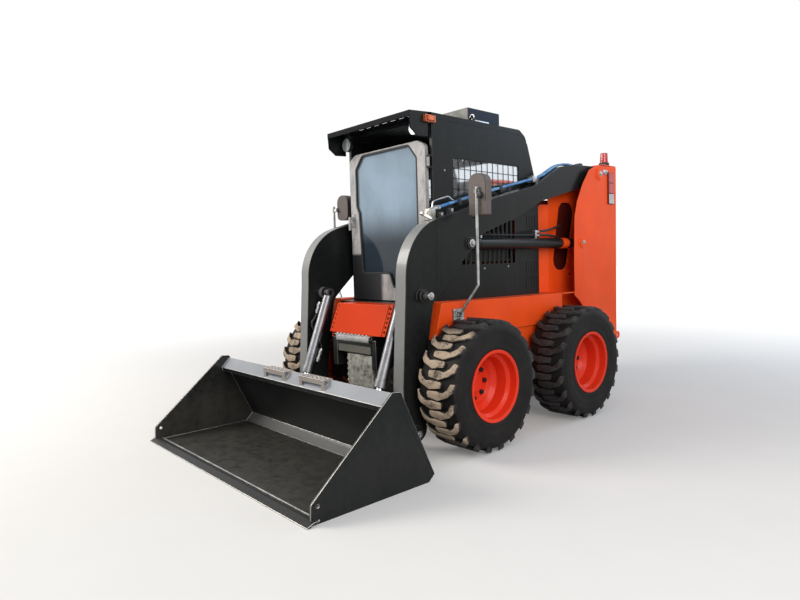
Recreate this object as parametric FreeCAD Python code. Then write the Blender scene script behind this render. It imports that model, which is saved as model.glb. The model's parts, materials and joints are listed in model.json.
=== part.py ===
import FreeCAD, Part
import math
import os

# Skid steer loader, in millimetres. X points to the machine's left, Y to its rear and Z up.
# Everything is drawn with y = 0 at the front axle and z = 0 on the ground. At the end each
# solid moves along Y, so that the origin lies on the ground under the middle of its length.

V = FreeCAD.Vector

# Wheels: wide tyres with two staggered rows of lugs, on single-piece steel rims
wheelbase = 1100.0
tyre_radius = 410.0
tyre_width = 300.0
wheel_centre_x = 769.0
tread_depth = 22.0
lugs_a_side = 21
bead_radius = 210.0
flange_radius = 224.0
rim_width = 284.0
rim_wall = 6.0
disc_offset = -58.0
disc_thickness = 10.0
stud_count = 8
stud_circle_radius = 101.5
stud_radius = 8.0
nut_radius = 15.0
nut_height = 16.0
hub_flange_radius = 128.0
hub_flange_thickness = 18.0
hub_nose_radius = 58.0
hub_nose_length = 26.0
axle_radius = 38.0
axle_length = 104.0

# Running clearances
pin_clearance = 0.05
seat_gap = 0.3
swing_gap = 6.0

# Chassis tub, chain cases and side pontoons
tub_half_width = 450.0
tub_wall = 8.0
tub_bottom = 215.0
tub_front = -155.0
tub_rear = 1960.0
deck_height = 905.0
ledge_inner_x = 395.0
case_outer_x = 588.0
case_bottom = 250.0
case_front = -155.0
case_rear = 1290.0
axle_tube_radius = 62.0
axle_tube_length = 34.0
fender_outer_x = 600.0
fender_height = 215.0
fender_bottom = deck_height - fender_height
fender_wall = 6.0
fender_rear = 1205.0

# Uprights that carry the arms
arch_gap = 125.0
upright_inner_x = tub_half_width + seat_gap
upright_outer_x = 615.0
upright_plate = 8.0
upright_bend_x = 430.0
rear_end = 2020.0
tie_down_reach = 25.0
tie_down_radius = 32.0
tie_down_bore = 15.0
tie_down_z = 492.0

# Lift arms: two plates a side, closed by strips along their edges
arm_inner_x = 476.0
arm_outer_x = 570.0
arm_plate = 8.0
arm_pivot = (1742.0, 1857.0)
arm_pin_radius = 25.0
lift_rod_pin = (171.0, 1293.0)
lift_base_pin = (1475.0, 1295.0)
tilt_top_pin = (-290.0, 972.0)
bucket_pivot = (-355.0, 125.0)
tilt_rod_pin = (-560.0, 270.0)
link_pin_radius = 19.0
boss_radius = 40.0
cross_tube_y = 1180.0
cross_tube_z = 1755.0
cross_tube_radius = 50.0
cross_tube_wall = 7.0

# Cylinders
lift_barrel_radius = 40.0
lift_rod_radius = 20.0
tilt_barrel_radius = 36.0
tilt_rod_radius = 20.0
cylinder_wall = 6.0
tilt_x = 402.0
eye_width = 44.0
eye_radius = 34.0
arm_centre_x = (arm_inner_x + arm_outer_x) / 2
lift_boss_x = arm_centre_x + lift_barrel_radius + 4

# Bucket and coupler
bucket_half_width = 958.0
side_plate = 10.0
lip_y = -1431.0
edge_half_width = 972.0
edge_rear = -1371.0
edge_thickness = 22.0
floor_plate = 8.0

# Cab, with its heights measured from its own base
cab_half_width = 440.0
cab_wall = 24.0
cab_front = -32.0
cab_base = deck_height + seat_gap
cab_pan = 10.0
roof_bottom = 1199.0
roof_top = 1239.0
visor_front = -228.0
visor_edge = 1227.0
visor_sheet = 4.0
door_half_width = 408.0
door_free_x = -394.0
door_base = 7.0
door_thickness = 28.0
door_y = cab_front - 6.0
glass_thickness = 6.0
guard_bar = 5.0
guard_columns = 12
guard_rows = 4
hinge_radius = 10.0
hinge_pin_radius = 6.0
hinge_length = 60.0
hinge_x = door_half_width + hinge_radius + 2
hinge_y = door_y - door_thickness / 2
door_hinges = (95.0, 895.0)
slot_width = 7.0

# Engine bay
hood_sheet = 8.0
hood_low = deck_height + 155.0
hood_high = cab_base + 731.0
hood_half = 425.0
rear_door_top = hood_high - 46.0
door_face = rear_end - 20
rear_hinge = (upright_inner_x - 18, door_face)
rear_hinge_heights = (deck_height - 145.0, rear_door_top - 280.0)

origin_y = (rear_end + tie_down_reach + tie_down_radius + lip_y) / 2

os.makedirs("parts", exist_ok=True)


def save(name, *solids):
    """Move the solids to the part's origin and write them as one node."""
    shape = solids[0] if len(solids) == 1 else Part.makeCompound(list(solids))
    shape = shape.copy()
    shape.translate(V(0, -origin_y, 0))
    shape.exportStep("parts/" + name + ".step")


def on_deck(shape):
    """A cab piece, drawn from the cab's base, put at its height."""
    raised = shape.copy()
    raised.translate(V(0, 0, cab_base))
    return raised


def mirrored(shape):
    """The same solid on the machine's other side."""
    return shape.mirror(V(0, 0, 0), V(1, 0, 0))


def box(x0, x1, y0, y1, z0, z1):
    return Part.makeBox(x1 - x0, y1 - y0, z1 - z0, V(x0, y0, z0))


def bar_x(y, z, radius, x0, x1):
    """A round bar along X."""
    return Part.makeCylinder(radius, x1 - x0, V(x0, y, z), V(1, 0, 0))


def bar(start, end, radius):
    """A round bar between two points."""
    along = V(*end) - V(*start)
    return Part.makeCylinder(radius, along.Length, V(*start), along)


def wire(points, place):
    """A closed wire through (a, b) or (a, b, corner radius) points, put in space by place."""
    count = len(points)
    flat = [V(p[0], p[1], 0) for p in points]
    radii = [p[2] if len(p) > 2 else 0 for p in points]
    ends = []
    for i in range(count):
        here = flat[i]
        if not radii[i]:
            ends.append((here, here, here))
            continue
        back = (flat[i - 1] - here).normalize()
        on = (flat[(i + 1) % count] - here).normalize()
        half = back.getAngle(on) / 2
        reach = radii[i] / math.tan(half)
        middle = here + (back + on).normalize() * (radii[i] / math.sin(half) - radii[i])
        ends.append((here + back * reach, middle, here + on * reach))
    edges = []
    for i in range(count):
        start, middle, end = [place(p.x, p.y) for p in ends[i]]
        if radii[i]:
            edges.append(Part.Arc(start, middle, end).toShape())
        following = ends[(i + 1) % count][0]
        following = place(following.x, following.y)
        if (following - end).Length > 0.001:
            edges.append(Part.LineSegment(end, following).toShape())
    return Part.Wire(edges)


def slab_x(points, x0, x1):
    """A plate with its outline in (y, z), from x0 to x1."""
    face = Part.Face(wire(points, lambda y, z: V(x0, y, z)))
    return face.extrude(V(x1 - x0, 0, 0))


def slab_y(points, y0, y1):
    """A plate with its outline in (x, z), from y0 to y1."""
    face = Part.Face(wire(points, lambda x, z: V(x, y0, z)))
    return face.extrude(V(0, y1 - y0, 0))


def slab_z(points, z0, z1):
    """A plate with its outline in (x, y), from z0 to z1."""
    face = Part.Face(wire(points, lambda x, y: V(x, y, z0)))
    return face.extrude(V(0, 0, z1 - z0))


def turned_x(points, y, z):
    """A ring turned about an X axis through (y, z), from (x, radius) points."""
    face = Part.Face(wire(points, lambda x, r: V(x, y, z + r)))
    return face.revolve(V(0, y, z), V(1, 0, 0), 360)


def inset(points, wall, x0, x1):
    """A slab inside the outline, one wall away from it all round."""
    face = Part.Face(wire(points, lambda y, z: V(x0, y, z)))
    inner = face.makeOffset2D(-wall)
    return Part.Face(inner.Wires[0]).extrude(V(x1 - x0, 0, 0))


def folded(points, thickness, x0, x1):
    """Sheet folded along open (y, z) points, its thickness laid to the right of the way."""
    count = len(points)
    steps = []
    for start, end in zip(points, points[1:]):
        length = math.hypot(end[0] - start[0], end[1] - start[1])
        steps.append(((end[0] - start[0]) / length, (end[1] - start[1]) / length))
    far = []
    for i in range(count):
        before = steps[max(i - 1, 0)]
        after = steps[min(i, count - 2)]
        normal = (before[1] + after[1], -before[0] - after[0])
        scale = thickness / (normal[0] * after[1] - normal[1] * after[0])
        far.append((points[i][0] + normal[0] * scale, points[i][1] + normal[1] * scale))
    return slab_x(list(points) + far[::-1], x0, x1)


def polar(centre, radius, degrees):
    """The (y, z) point at a distance and angle from a centre."""
    angle = math.radians(degrees)
    return (centre[0] + radius * math.cos(angle), centre[1] + radius * math.sin(angle))


def toward(start, end, distance):
    """The (y, z) point at a distance from start on the way to end."""
    length = math.hypot(end[0] - start[0], end[1] - start[1])
    share = distance / length
    return (start[0] + (end[0] - start[0]) * share, start[1] + (end[1] - start[1]) * share)


def link(start, end, radius, x0, x1):
    """A flat link with round ends about two (y, z) points."""
    along = math.atan2(end[1] - start[1], end[0] - start[0])
    side = (-math.sin(along) * radius, math.cos(along) * radius)
    corners = [
        (start[0] + side[0], start[1] + side[1]),
        (start[0] - side[0], start[1] - side[1]),
        (end[0] - side[0], end[1] - side[1]),
        (end[0] + side[0], end[1] + side[1]),
    ]
    web = slab_x(corners, x0, x1)
    return web.fuse([bar_x(*start, radius, x0, x1), bar_x(*end, radius, x0, x1)]).removeSplitter()


# Wheels


def faceted_ring(profile, sides):
    """A ring of flat faces about the X axis, from (x, radius to the flats) points."""
    spread = 1 / math.cos(math.pi / sides)
    rings = []
    for i in range(sides):
        y, z = polar((0, 0), spread, 270 + 360 * (i - 0.5) / sides)
        rings.append([V(x, y * radius, z * radius) for x, radius in profile])
    faces = []
    for i in range(sides):
        here, on = rings[i - 1], rings[i]
        for j in range(len(profile)):
            corners = [here[j - 1], here[j], on[j], on[j - 1], here[j - 1]]
            faces.append(Part.Face(Part.makePolygon(corners)))
    ring = Part.Solid(Part.makeShell(faces))
    if ring.Volume < 0:
        ring.reverse()
    return ring


# A lug's corners: along the axle from the middle, then along the tread, as shares of a lug's pitch
outer_lug = [(1, -0.48), (0.33, 0.1), (-0.18, -0.12), (-0.3, 0.2), (0.3, 0.49), (1, 0.02)]
inner_lug = [(-1, -0.46), (-0.25, -0.1), (0.22, -0.14), (0.22, 0.28), (-0.35, 0.4), (-1, 0.0)]


def tyre():
    """Hollow tyre of the left front wheel, about the X axis, with its beads on the rim's seats."""
    half = tyre_width / 2
    bead_x = rim_width / 2 - 8 - seat_gap
    bead_r = bead_radius + seat_gap
    crown = tyre_radius - tread_depth
    profile = [
        (bead_x, bead_r),
        (bead_x, flange_radius + seat_gap),
        (half, tyre_radius * 0.76),
        (half - 20, crown),
        (20 - half, crown),
        (-half, tyre_radius * 0.76),
        (-bead_x, flange_radius + seat_gap),
        (-bead_x, bead_r),
        (22 - bead_x, bead_r),
        (0, crown - 16),
        (bead_x - 22, bead_r),
    ]
    sides = 2 * lugs_a_side
    pitch = 2 * tyre_radius * math.tan(math.pi / sides)
    reach = half - 8
    body = faceted_ring(profile, sides)
    lugs = []
    for i in range(sides):
        corners = outer_lug if i % 2 else inner_lug
        outline = [(reach * across, pitch * along) for across, along in corners]
        lug = slab_z(outline, -tyre_radius, 10 - crown)
        lug.rotate(V(0, 0, 0), V(1, 0, 0), 360 * i / sides)
        lugs.append(lug)
    body = body.fuse(lugs)
    body.translate(V(wheel_centre_x, 0, tyre_radius))
    return body


def rim(axle_y):
    """Deep rim of the left side: flanges, seats, well and the pressed disc."""
    half = rim_width / 2
    shell = [
        (half, flange_radius - rim_wall),
        (half, flange_radius),
        (half - 8, flange_radius),
        (half - 8, bead_radius),
        (half - 52, bead_radius - 4),
        (half - 66, bead_radius - 26),
        (-half + 66, bead_radius - 26),
        (-half + 52, bead_radius - 4),
        (-half + 8, bead_radius),
        (-half + 8, flange_radius),
        (-half, flange_radius),
        (-half, flange_radius - rim_wall),
        (-half + 4, bead_radius - rim_wall),
        (-half + 54, bead_radius - 4 - rim_wall),
        (-half + 68, bead_radius - 26 - rim_wall),
        (half - 68, bead_radius - 26 - rim_wall),
        (half - 54, bead_radius - 4 - rim_wall),
        (half - 4, bead_radius - rim_wall),
    ]
    shell = turned_x([(wheel_centre_x + x, r) for x, r in shell], axle_y, tyre_radius)
    back = wheel_centre_x + disc_offset
    well_radius = bead_radius - 26 - rim_wall
    disc = [
        (back, hub_nose_radius + 1),
        (back, stud_circle_radius + 34),
        (back + 24, stud_circle_radius + 52),
        (back + 46, well_radius + 1),
        (back + 46 + disc_thickness, well_radius + 1),
        (back + 24 + disc_thickness, stud_circle_radius + 50),
        (back + disc_thickness, stud_circle_radius + 32),
        (back + disc_thickness, hub_nose_radius + 1),
    ]
    disc = turned_x(disc, axle_y, tyre_radius)
    holes = []
    for i in range(stud_count):
        y, z = polar((axle_y, tyre_radius), stud_circle_radius, 360 * i / stud_count)
        holes.append(bar_x(y, z, stud_radius + 1, back - 5, back + disc_thickness + 5))
    return shell.fuse(disc.cut(holes)).removeSplitter()


def hub(axle_y):
    """Hub of the left side: shaft, flange, nose, studs and nuts."""
    face = wheel_centre_x + disc_offset - seat_gap
    nut_seat = wheel_centre_x + disc_offset + disc_thickness + seat_gap
    shaft_end = face - hub_flange_thickness - axle_length
    body = bar_x(axle_y, tyre_radius, axle_radius, shaft_end, face - 1)
    pieces = [
        bar_x(axle_y, tyre_radius, hub_flange_radius, face - hub_flange_thickness, face),
        bar_x(axle_y, tyre_radius, hub_nose_radius, face - 1, nut_seat + hub_nose_length),
    ]
    for i in range(stud_count):
        y, z = polar((axle_y, tyre_radius), stud_circle_radius, 360 * i / stud_count)
        pieces.append(bar_x(y, z, stud_radius, face - 1, nut_seat + nut_height + 6))
        pieces.append(bar_x(y, z, nut_radius, nut_seat, nut_seat + nut_height))
    return body.fuse(pieces).removeSplitter()


left_tyre = tyre()
for corner, axle_y in (("front", 0.0), ("rear", wheelbase)):
    rolled = left_tyre.copy()
    rolled.translate(V(0, axle_y, 0))
    for piece, shape in (("tyre", rolled), ("rim", rim(axle_y)), ("hub", hub(axle_y))):
        save(piece + "_" + corner + "_left", shape)
        save(piece + "_" + corner + "_right", mirrored(shape))


# Chassis


def chassis_frame():
    """Open steel tub that carries the engine, with a raised nose under the cab."""
    outline = [
        (tub_front, deck_height),
        (tub_front, tub_bottom + 110),
        (tub_front + 110, tub_bottom),
        (tub_rear - 90, tub_bottom),
        (tub_rear, tub_bottom + 110),
        (tub_rear, deck_height),
    ]
    outer = slab_x(outline, -tub_half_width, tub_half_width)
    reach = 400
    hollow = [
        (tub_front + tub_wall, deck_height + reach),
        (tub_front + tub_wall, tub_bottom + 114),
        (tub_front + 114, tub_bottom + tub_wall),
        (tub_rear - 94, tub_bottom + tub_wall),
        (tub_rear - tub_wall, tub_bottom + 114),
        (tub_rear - tub_wall, deck_height + reach),
    ]
    inner = slab_x(hollow, -tub_half_width + tub_wall, tub_half_width - tub_wall)
    ledge_bottom = deck_height - tub_wall
    deck = box(-tub_half_width, tub_half_width, tub_front, cab_front + 20, ledge_bottom, deck_height)
    ledge = box(ledge_inner_x, tub_half_width, tub_front, tub_rear, ledge_bottom, deck_height)
    return outer.cut(inner).fuse([deck, ledge, mirrored(ledge)]).removeSplitter()


def chain_case():
    """Closed drive case of the left side, with an axle tube for each wheel."""
    outline = [
        (case_front, fender_bottom - seat_gap),
        (case_front, case_bottom + 60),
        (case_front + 60, case_bottom),
        (case_rear - 60, case_bottom),
        (case_rear, case_bottom + 60),
        (case_rear, fender_bottom - seat_gap),
    ]
    case = slab_x(outline, tub_half_width + seat_gap, case_outer_x)
    case = case.cut(inset(outline, tub_wall, tub_half_width + tub_wall, case_outer_x - tub_wall))
    tube_end = case_outer_x + axle_tube_length
    for axle_y in (0.0, wheelbase):
        case = case.fuse(bar_x(axle_y, tyre_radius, axle_tube_radius, case_outer_x - 60, tube_end))
        case = case.cut(bar_x(axle_y, tyre_radius, axle_radius + pin_clearance, 500, tube_end + 1))
    return case.removeSplitter()


def fender():
    """Pontoon above the wheels of the left side, a folded box that is open below."""
    top = deck_height + 13
    outline = [
        (-208, fender_bottom),
        (-143, top),
        (905, top - 12),
        (fender_rear, top - 16),
        (fender_rear, fender_bottom),
    ]
    hollow = outline[:-1] + [(fender_rear, fender_bottom - 40), (-220, fender_bottom - 40)]
    case = slab_x(outline, upright_inner_x, fender_outer_x)
    room = (upright_inner_x + fender_wall, fender_outer_x - fender_wall)
    return case.cut(inset(hollow, fender_wall, *room)).removeSplitter()


save("chassis_frame", chassis_frame())
case = chain_case()
save("chain_cases", case, mirrored(case))
pontoon = fender()
save("fenders", pontoon, mirrored(pontoon))


# Uprights


upright_top = 1934.0
upright_outline = [
    (rear_end, 455),
    (rear_end, upright_top, 20),
    (1711, upright_top - 8, 60),
    (1594, 1878),
    (1495, 1763),
    (1413, 1622),
    (1373, 1499),
    (1362, 1157),
    (1362, 455),
]
upright_inner_outline = [
    (rear_end, 455),
    (rear_end, upright_top, 20),
    (1640, upright_top, 60),
    (1480, 1800),
    (1240, 1660),
    (1240, deck_height + seat_gap),
    (case_rear + 8, deck_height + seat_gap),
    (case_rear + 8, 455),
]
inner_far = upright_inner_x + upright_plate
hose_hole = (1541, 1042)
hose_hole_radius = 12.0
oval = [(1285, 1080, 85), (1485, 1080, 85), (1622, 1626, 85), (1395, 1626, 85)]


def rear_hinge_pins():
    """Pins and lugs of the engine door, on the left upright's inner plate."""
    pieces = []
    for z in rear_hinge_heights:
        pieces.append(Part.makeCylinder(hinge_pin_radius, hinge_length + 28, V(*rear_hinge, z - 14)))
        for low in (z - 12 - seat_gap, z + hinge_length + seat_gap):
            x, y = rear_hinge
            pieces.append(box(x - 8, upright_inner_x + 1, y - 8, y + 8, low, low + 12))
    return pieces


def upright():
    """Left upright: outer plate with a wheel arch, the back, top, shelf, lift boss and pins."""
    outer = slab_x(upright_outline, upright_outer_x - upright_plate, upright_outer_x)
    arch_radius = tyre_radius + arch_gap
    outer = outer.cut(bar_x(wheelbase, tyre_radius, arch_radius, 500, upright_outer_x + 1))
    back_x = inner_far + seat_gap
    back = box(back_x, upright_outer_x, rear_end - upright_plate, rear_end, 460, upright_top - 4)
    top = box(back_x, upright_outer_x, 1795, rear_end, upright_top - 1, upright_top + 7)
    eye_centre = (rear_end + tie_down_reach, tie_down_z)
    eye_root = (rear_end - 40, tie_down_z)
    tie_down = link(eye_root, eye_centre, tie_down_radius, upright_outer_x - 14, upright_outer_x)
    shelf_front = fender_rear + seat_gap
    shelf = box(back_x, upright_outer_x - 2, shelf_front, 1364, deck_height - upright_plate, deck_height)
    lift_boss = bar_x(*lift_base_pin, boss_radius, lift_boss_x, upright_outer_x - 1)
    body = outer.fuse([back, top, tie_down, shelf, lift_boss])
    body = body.cut(bar_x(*eye_centre, tie_down_bore, 500, upright_outer_x + 1))
    for centre, radius in ((arm_pivot, arm_pin_radius), (lift_base_pin, link_pin_radius)):
        body = body.fuse(bar_x(*centre, radius + 22, upright_outer_x - 1, upright_outer_x + 12))
        body = body.fuse(bar_x(*centre, radius, upright_inner_x + 1, upright_outer_x + 16))
    return body.removeSplitter()


def upright_inner():
    """Inner plate of the left upright, with its oval and a front edge bent to the cab."""
    inner = slab_x(upright_inner_outline, upright_inner_x, inner_far)
    inner = inner.cut(slab_x(oval, upright_inner_x - 5, inner_far + 5))
    inner = inner.cut(bar_x(*hose_hole, hose_hole_radius, upright_inner_x - 5, inner_far + 5))
    bend = upright_bend_x
    bent = [(inner_far, 1241), (inner_far, 1233), (bend, 1132), (bend, 1140), (upright_inner_x, 1241)]
    bent = slab_z(bent, deck_height + seat_gap, 1600)
    slant = slab_x([(1100, 1560), (1260, 1662), (1260, 1800), (1100, 1800)], 400, 500)
    bent = bent.cut(slant)
    pad = link(lift_base_pin, (lift_base_pin[0] + 150, lift_base_pin[1]), 42, inner_far - 1, inner_far + 16)
    body = inner.fuse([bent, pad])
    for centre, radius in ((arm_pivot, arm_pin_radius), (lift_base_pin, link_pin_radius)):
        body = body.cut(bar_x(*centre, radius + pin_clearance, 400, 500))
    return body.removeSplitter()


left_upright = upright()
save("uprights", left_upright, mirrored(left_upright))
left_inner = upright_inner()
save("upright_inner_left", left_inner.fuse(rear_hinge_pins()).removeSplitter())
save("upright_inner_right", mirrored(left_inner))


# Lift arms


arm_outline = [
    (1742, 1925, 60),
    (1436, 1915, 60),
    (1240, 1881),
    (905, 1715),
    (439, 1603),
    (-402, 1376, 380),
    (-419, 1008),
    (-440, 716),
    (-460, 416),
    (-440, 70, 80),
    (-270, 70, 80),
    (-260, 445),
    (-234, 693),
    (-186, 918, 60),
    (-116, 987),
    (75, 1157),
    (183, 1249),
    (278, 1351, 40),
    (705, 1485),
    (990, 1607),
    (1465, 1718),
    (1770, 1795, 30),
]
lift_slot = [
    (lift_rod_pin[0] - 70, 1160),
    (lift_rod_pin[0] - 70, 1370, 40),
    (600, 1500, 40),
    (1240, 1745, 30),
    (1700, 1745),
    (1700, 1500),
    (600, 1160),
]


def lift_arm():
    """Left lift arm: a hollow box that is open below for the lift cylinder."""
    arm = slab_x(arm_outline, arm_inner_x, arm_outer_x)
    inside = (arm_inner_x + arm_plate, arm_outer_x - arm_plate)
    arm = arm.cut(inset(arm_outline, arm_plate, *inside))
    arm = arm.cut(slab_x(lift_slot, *inside))
    solid_ends = [
        bar_x(*arm_pivot, arm_pin_radius + 26, arm_inner_x - 5, arm_outer_x + 30),
        bar_x(*bucket_pivot, link_pin_radius + 22, arm_inner_x, arm_outer_x),
    ]
    arm = arm.fuse([bar_x(*arm_pivot, 68, arm_inner_x, arm_outer_x)] + solid_ends)
    arm = arm.cut(bar_x(*arm_pivot, arm_pin_radius + pin_clearance, 400, 700))
    arm = arm.cut(bar_x(*bucket_pivot, link_pin_radius + pin_clearance, 400, 700))
    lift_pin = bar_x(*lift_rod_pin, boss_radius, arm_outer_x - 1, arm_outer_x + 18)
    boss_inner_x = tilt_x + tilt_barrel_radius + 4
    tilt_boss = bar_x(*tilt_top_pin, boss_radius, boss_inner_x, arm_outer_x + 28)
    tilt_collar = bar_x(*tilt_top_pin, link_pin_radius + 9, arm_outer_x + 27, arm_outer_x + 48)
    tilt_pin = bar_x(*tilt_top_pin, link_pin_radius, tilt_x - eye_width / 2, arm_outer_x + 84)
    return arm.fuse([lift_pin, tilt_boss, tilt_collar, tilt_pin]).removeSplitter()


left_arm = lift_arm()
save("lift_arms", left_arm, mirrored(left_arm))
tube_end = arm_inner_x - seat_gap
cross_tube = bar_x(cross_tube_y, cross_tube_z, cross_tube_radius, -tube_end, tube_end)
cross_bore = bar_x(cross_tube_y, cross_tube_z, cross_tube_radius - cross_tube_wall, -tube_end, tube_end)
save("arm_cross_tube", cross_tube.cut(cross_bore))


def swept(points, radius):
    """A round bar bent through (x, y, z) points."""
    body = bar(points[0], points[1], radius)
    for start, end in zip(points[1:], points[2:]):
        body = body.fuse([Part.makeSphere(radius, V(*start)), bar(start, end, radius)])
    return body


# Hydraulic lines of the left arm, as (y, z) points: two steel lines, then two hose loops
line_radius = 9.0
line_xs = (497.0, 521.0)
line_run = [(-70, 1524), (300, 1626), (930, 1768), (1080, 1825)]
loop_run = [(1080, 1825), (1160, 1880), (1270, 1935), (1400, 1955), (1500, 1945), (1600, 1930)]
clamp_places = ((120, 1576), (560, 1684), (960, 1781))


def arm_lines():
    """Lines and hoses on the left arm's top, held by three clamps and the coupler block."""
    pieces = []
    for x in line_xs:
        pieces.append(swept([(x, y, z) for y, z in line_run + loop_run[1:]], line_radius))
        pieces.append(bar((x, -140, 1504), (x, -60, 1527), line_radius + 7))
    low, high = line_xs[0] - line_radius - 6, line_xs[1] + line_radius + 6
    for y, z in clamp_places:
        pieces.append(box(low, high, y - 18, y + 18, z - 60, z + line_radius + 5))
    pieces.append(box(low, high, -110, -60, 1420, 1530))
    pieces.append(box(low, high, 1580, 1630, 1890, 1930))
    body = pieces[0].fuse(pieces[1:])
    skin = inset(arm_outline, -seat_gap, arm_inner_x - 5, arm_outer_x + 5)
    return body.cut(skin)


save("arm_lines", arm_lines())


# Cylinders


def along_line(start, end, first, last, radius, x):
    """A round bar on the line between two pins, from one distance to another."""
    p = toward(start, end, first)
    q = toward(start, end, last)
    return bar((x, p[0], p[1]), (x, q[0], q[1]), radius)


def barrel(base, head, radius, rod_radius, length, x):
    """A cylinder's barrel with its base eye, bored for the rod."""
    half = eye_width / 2
    tube = along_line(base, head, eye_radius - 6, length, radius, x)
    eye = bar_x(*base, eye_radius, x - half, x + half)
    bore = along_line(base, head, eye_radius + 30, length - 30, radius - cylinder_wall, x)
    throat = along_line(base, head, length - 31, length + 1, rod_radius + pin_clearance, x)
    gland = along_line(base, head, length - 46, length, radius + 5, x)
    body = tube.fuse([eye, gland]).cut([bore, throat])
    return body.cut(bar_x(*base, link_pin_radius + pin_clearance, x - half - 1, x + half + 1))


def rod(base, head, radius, piston_radius, tail, x):
    """A cylinder's rod with its piston and its eye, whose pin is left out."""
    half = eye_width / 2
    reach = math.hypot(head[0] - base[0], head[1] - base[1])
    shaft = along_line(base, head, tail, reach - eye_radius + 8, radius, x)
    piston = along_line(base, head, tail, tail + 34, piston_radius, x)
    eye = bar_x(*head, eye_radius, x - half, x + half)
    body = shaft.fuse([piston, eye])
    return body.cut(bar_x(*head, link_pin_radius + 1, x - half - 1, x + half + 1))


lift_line = (lift_base_pin, lift_rod_pin)
lift_barrel = barrel(*lift_line, lift_barrel_radius, lift_rod_radius, 1216, arm_centre_x)
lift_piston = lift_barrel_radius - cylinder_wall - pin_clearance
lift_rod = rod(*lift_line, lift_rod_radius, lift_piston, 110, arm_centre_x)
tilt_line = (tilt_top_pin, tilt_rod_pin)
tilt_barrel = barrel(*tilt_line, tilt_barrel_radius, tilt_rod_radius, 600, tilt_x)
tilt_piston = tilt_barrel_radius - cylinder_wall - pin_clearance
tilt_rod = rod(*tilt_line, tilt_rod_radius, tilt_piston, 166, tilt_x)
save("lift_barrels", lift_barrel, mirrored(lift_barrel))
save("lift_rods", lift_rod, mirrored(lift_rod))
save("tilt_barrels", tilt_barrel, mirrored(tilt_barrel))
save("tilt_rods", tilt_rod, mirrored(tilt_rod))


# Bucket and coupler


back_foot = (-660.0, 62.0)
back_head = (-857.0, 466.0)
flange_rear = (-830.0, 508.0)
flange_front = (-891.0, 442.0)
step_top = 512.0


def beside(start, end, distance, offset):
    """A point beside the line from start to end, offset to its right."""
    length = math.hypot(end[0] - start[0], end[1] - start[1])
    u = ((end[0] - start[0]) / length, (end[1] - start[1]) / length)
    return (start[0] + u[0] * distance + u[1] * offset, start[1] + u[1] * distance - u[0] * offset)


def bucket_step(x0, x1):
    """Grab step on the bucket's top flange: pierced tread, windowed front and two cheeks."""
    front, rear = flange_front[0], flange_rear[0] + 12
    foot = beside(flange_front, flange_rear, 2, 4)
    heel = beside(flange_front, flange_rear, 86, 4)
    cheek = [foot, (front, step_top), (rear, step_top), heel]
    pieces = [slab_x(cheek, x, x + 5) for x in (x0, x1 - 5)]
    pieces.append(box(x0, x1, front, rear, step_top - 5, step_top))
    pieces.append(slab_x([foot, (front, step_top), (front + 5, step_top), (foot[0] + 5, foot[1])], x0, x1))
    holes = [box(x0 + 26, x1 - 26, front - 1, front + 9, flange_front[1] - 9, step_top - 30)]
    holes.append(bar_x(front + 24, step_top - 21, 13, x0 - 1, x1 + 1))
    for i in range(5):
        x = (x0 + x1) / 2 + 46 * (i - 2)
        holes.append(box(x - 15, x + 15, front + 14, front + 28, step_top - 6, step_top + 1))
        holes.append(box(x - 15, x + 15, front + 40, front + 54, step_top - 6, step_top + 1))
    return pieces[0].fuse(pieces[1:]).cut(holes)


def bucket():
    """Low bucket: floor, folded back with its top flange, and two side plates."""
    inside_x = bucket_half_width - side_plate
    floor = [(edge_rear - 34, 8), (-715, 8), back_foot, back_head]
    shell = folded(floor, floor_plate, -inside_x - 1, inside_x + 1)
    top = [(flange_front[0] + 5, flange_front[1] - 26), flange_front, flange_rear]
    top = folded(top, floor_plate, -inside_x - 1, inside_x + 1)
    cheek = [
        (-1401, edge_thickness + seat_gap, 4),
        (-1397, 97, 20),
        (-888, 529, 10),
        (-829, 523, 10),
        (-599, 35, 8),
        (-643, 0),
        (edge_rear + seat_gap, 0),
        (edge_rear + seat_gap, edge_thickness + seat_gap),
    ]
    left_cheek = slab_x(cheek, inside_x, bucket_half_width)
    hole = bar_x(-1360, 84, 9, inside_x - 1, bucket_half_width + 1)
    left_cheek = left_cheek.cut(hole)
    steps = [bucket_step(-337, -80), bucket_step(95, 352)]
    return shell.fuse([top, left_cheek, mirrored(left_cheek)] + steps).removeSplitter()


def cutting_edge():
    """Bevelled wear plate under the front of the floor."""
    section = [
        (lip_y, 0),
        (lip_y, 5),
        (lip_y + 40, edge_thickness),
        (edge_rear, edge_thickness),
        (edge_rear, floor_plate + seat_gap),
        (edge_rear - 34 - seat_gap, floor_plate + seat_gap),
        (edge_rear - 34 - seat_gap, 0),
    ]
    return slab_x(section, -edge_half_width, edge_half_width)


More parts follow.
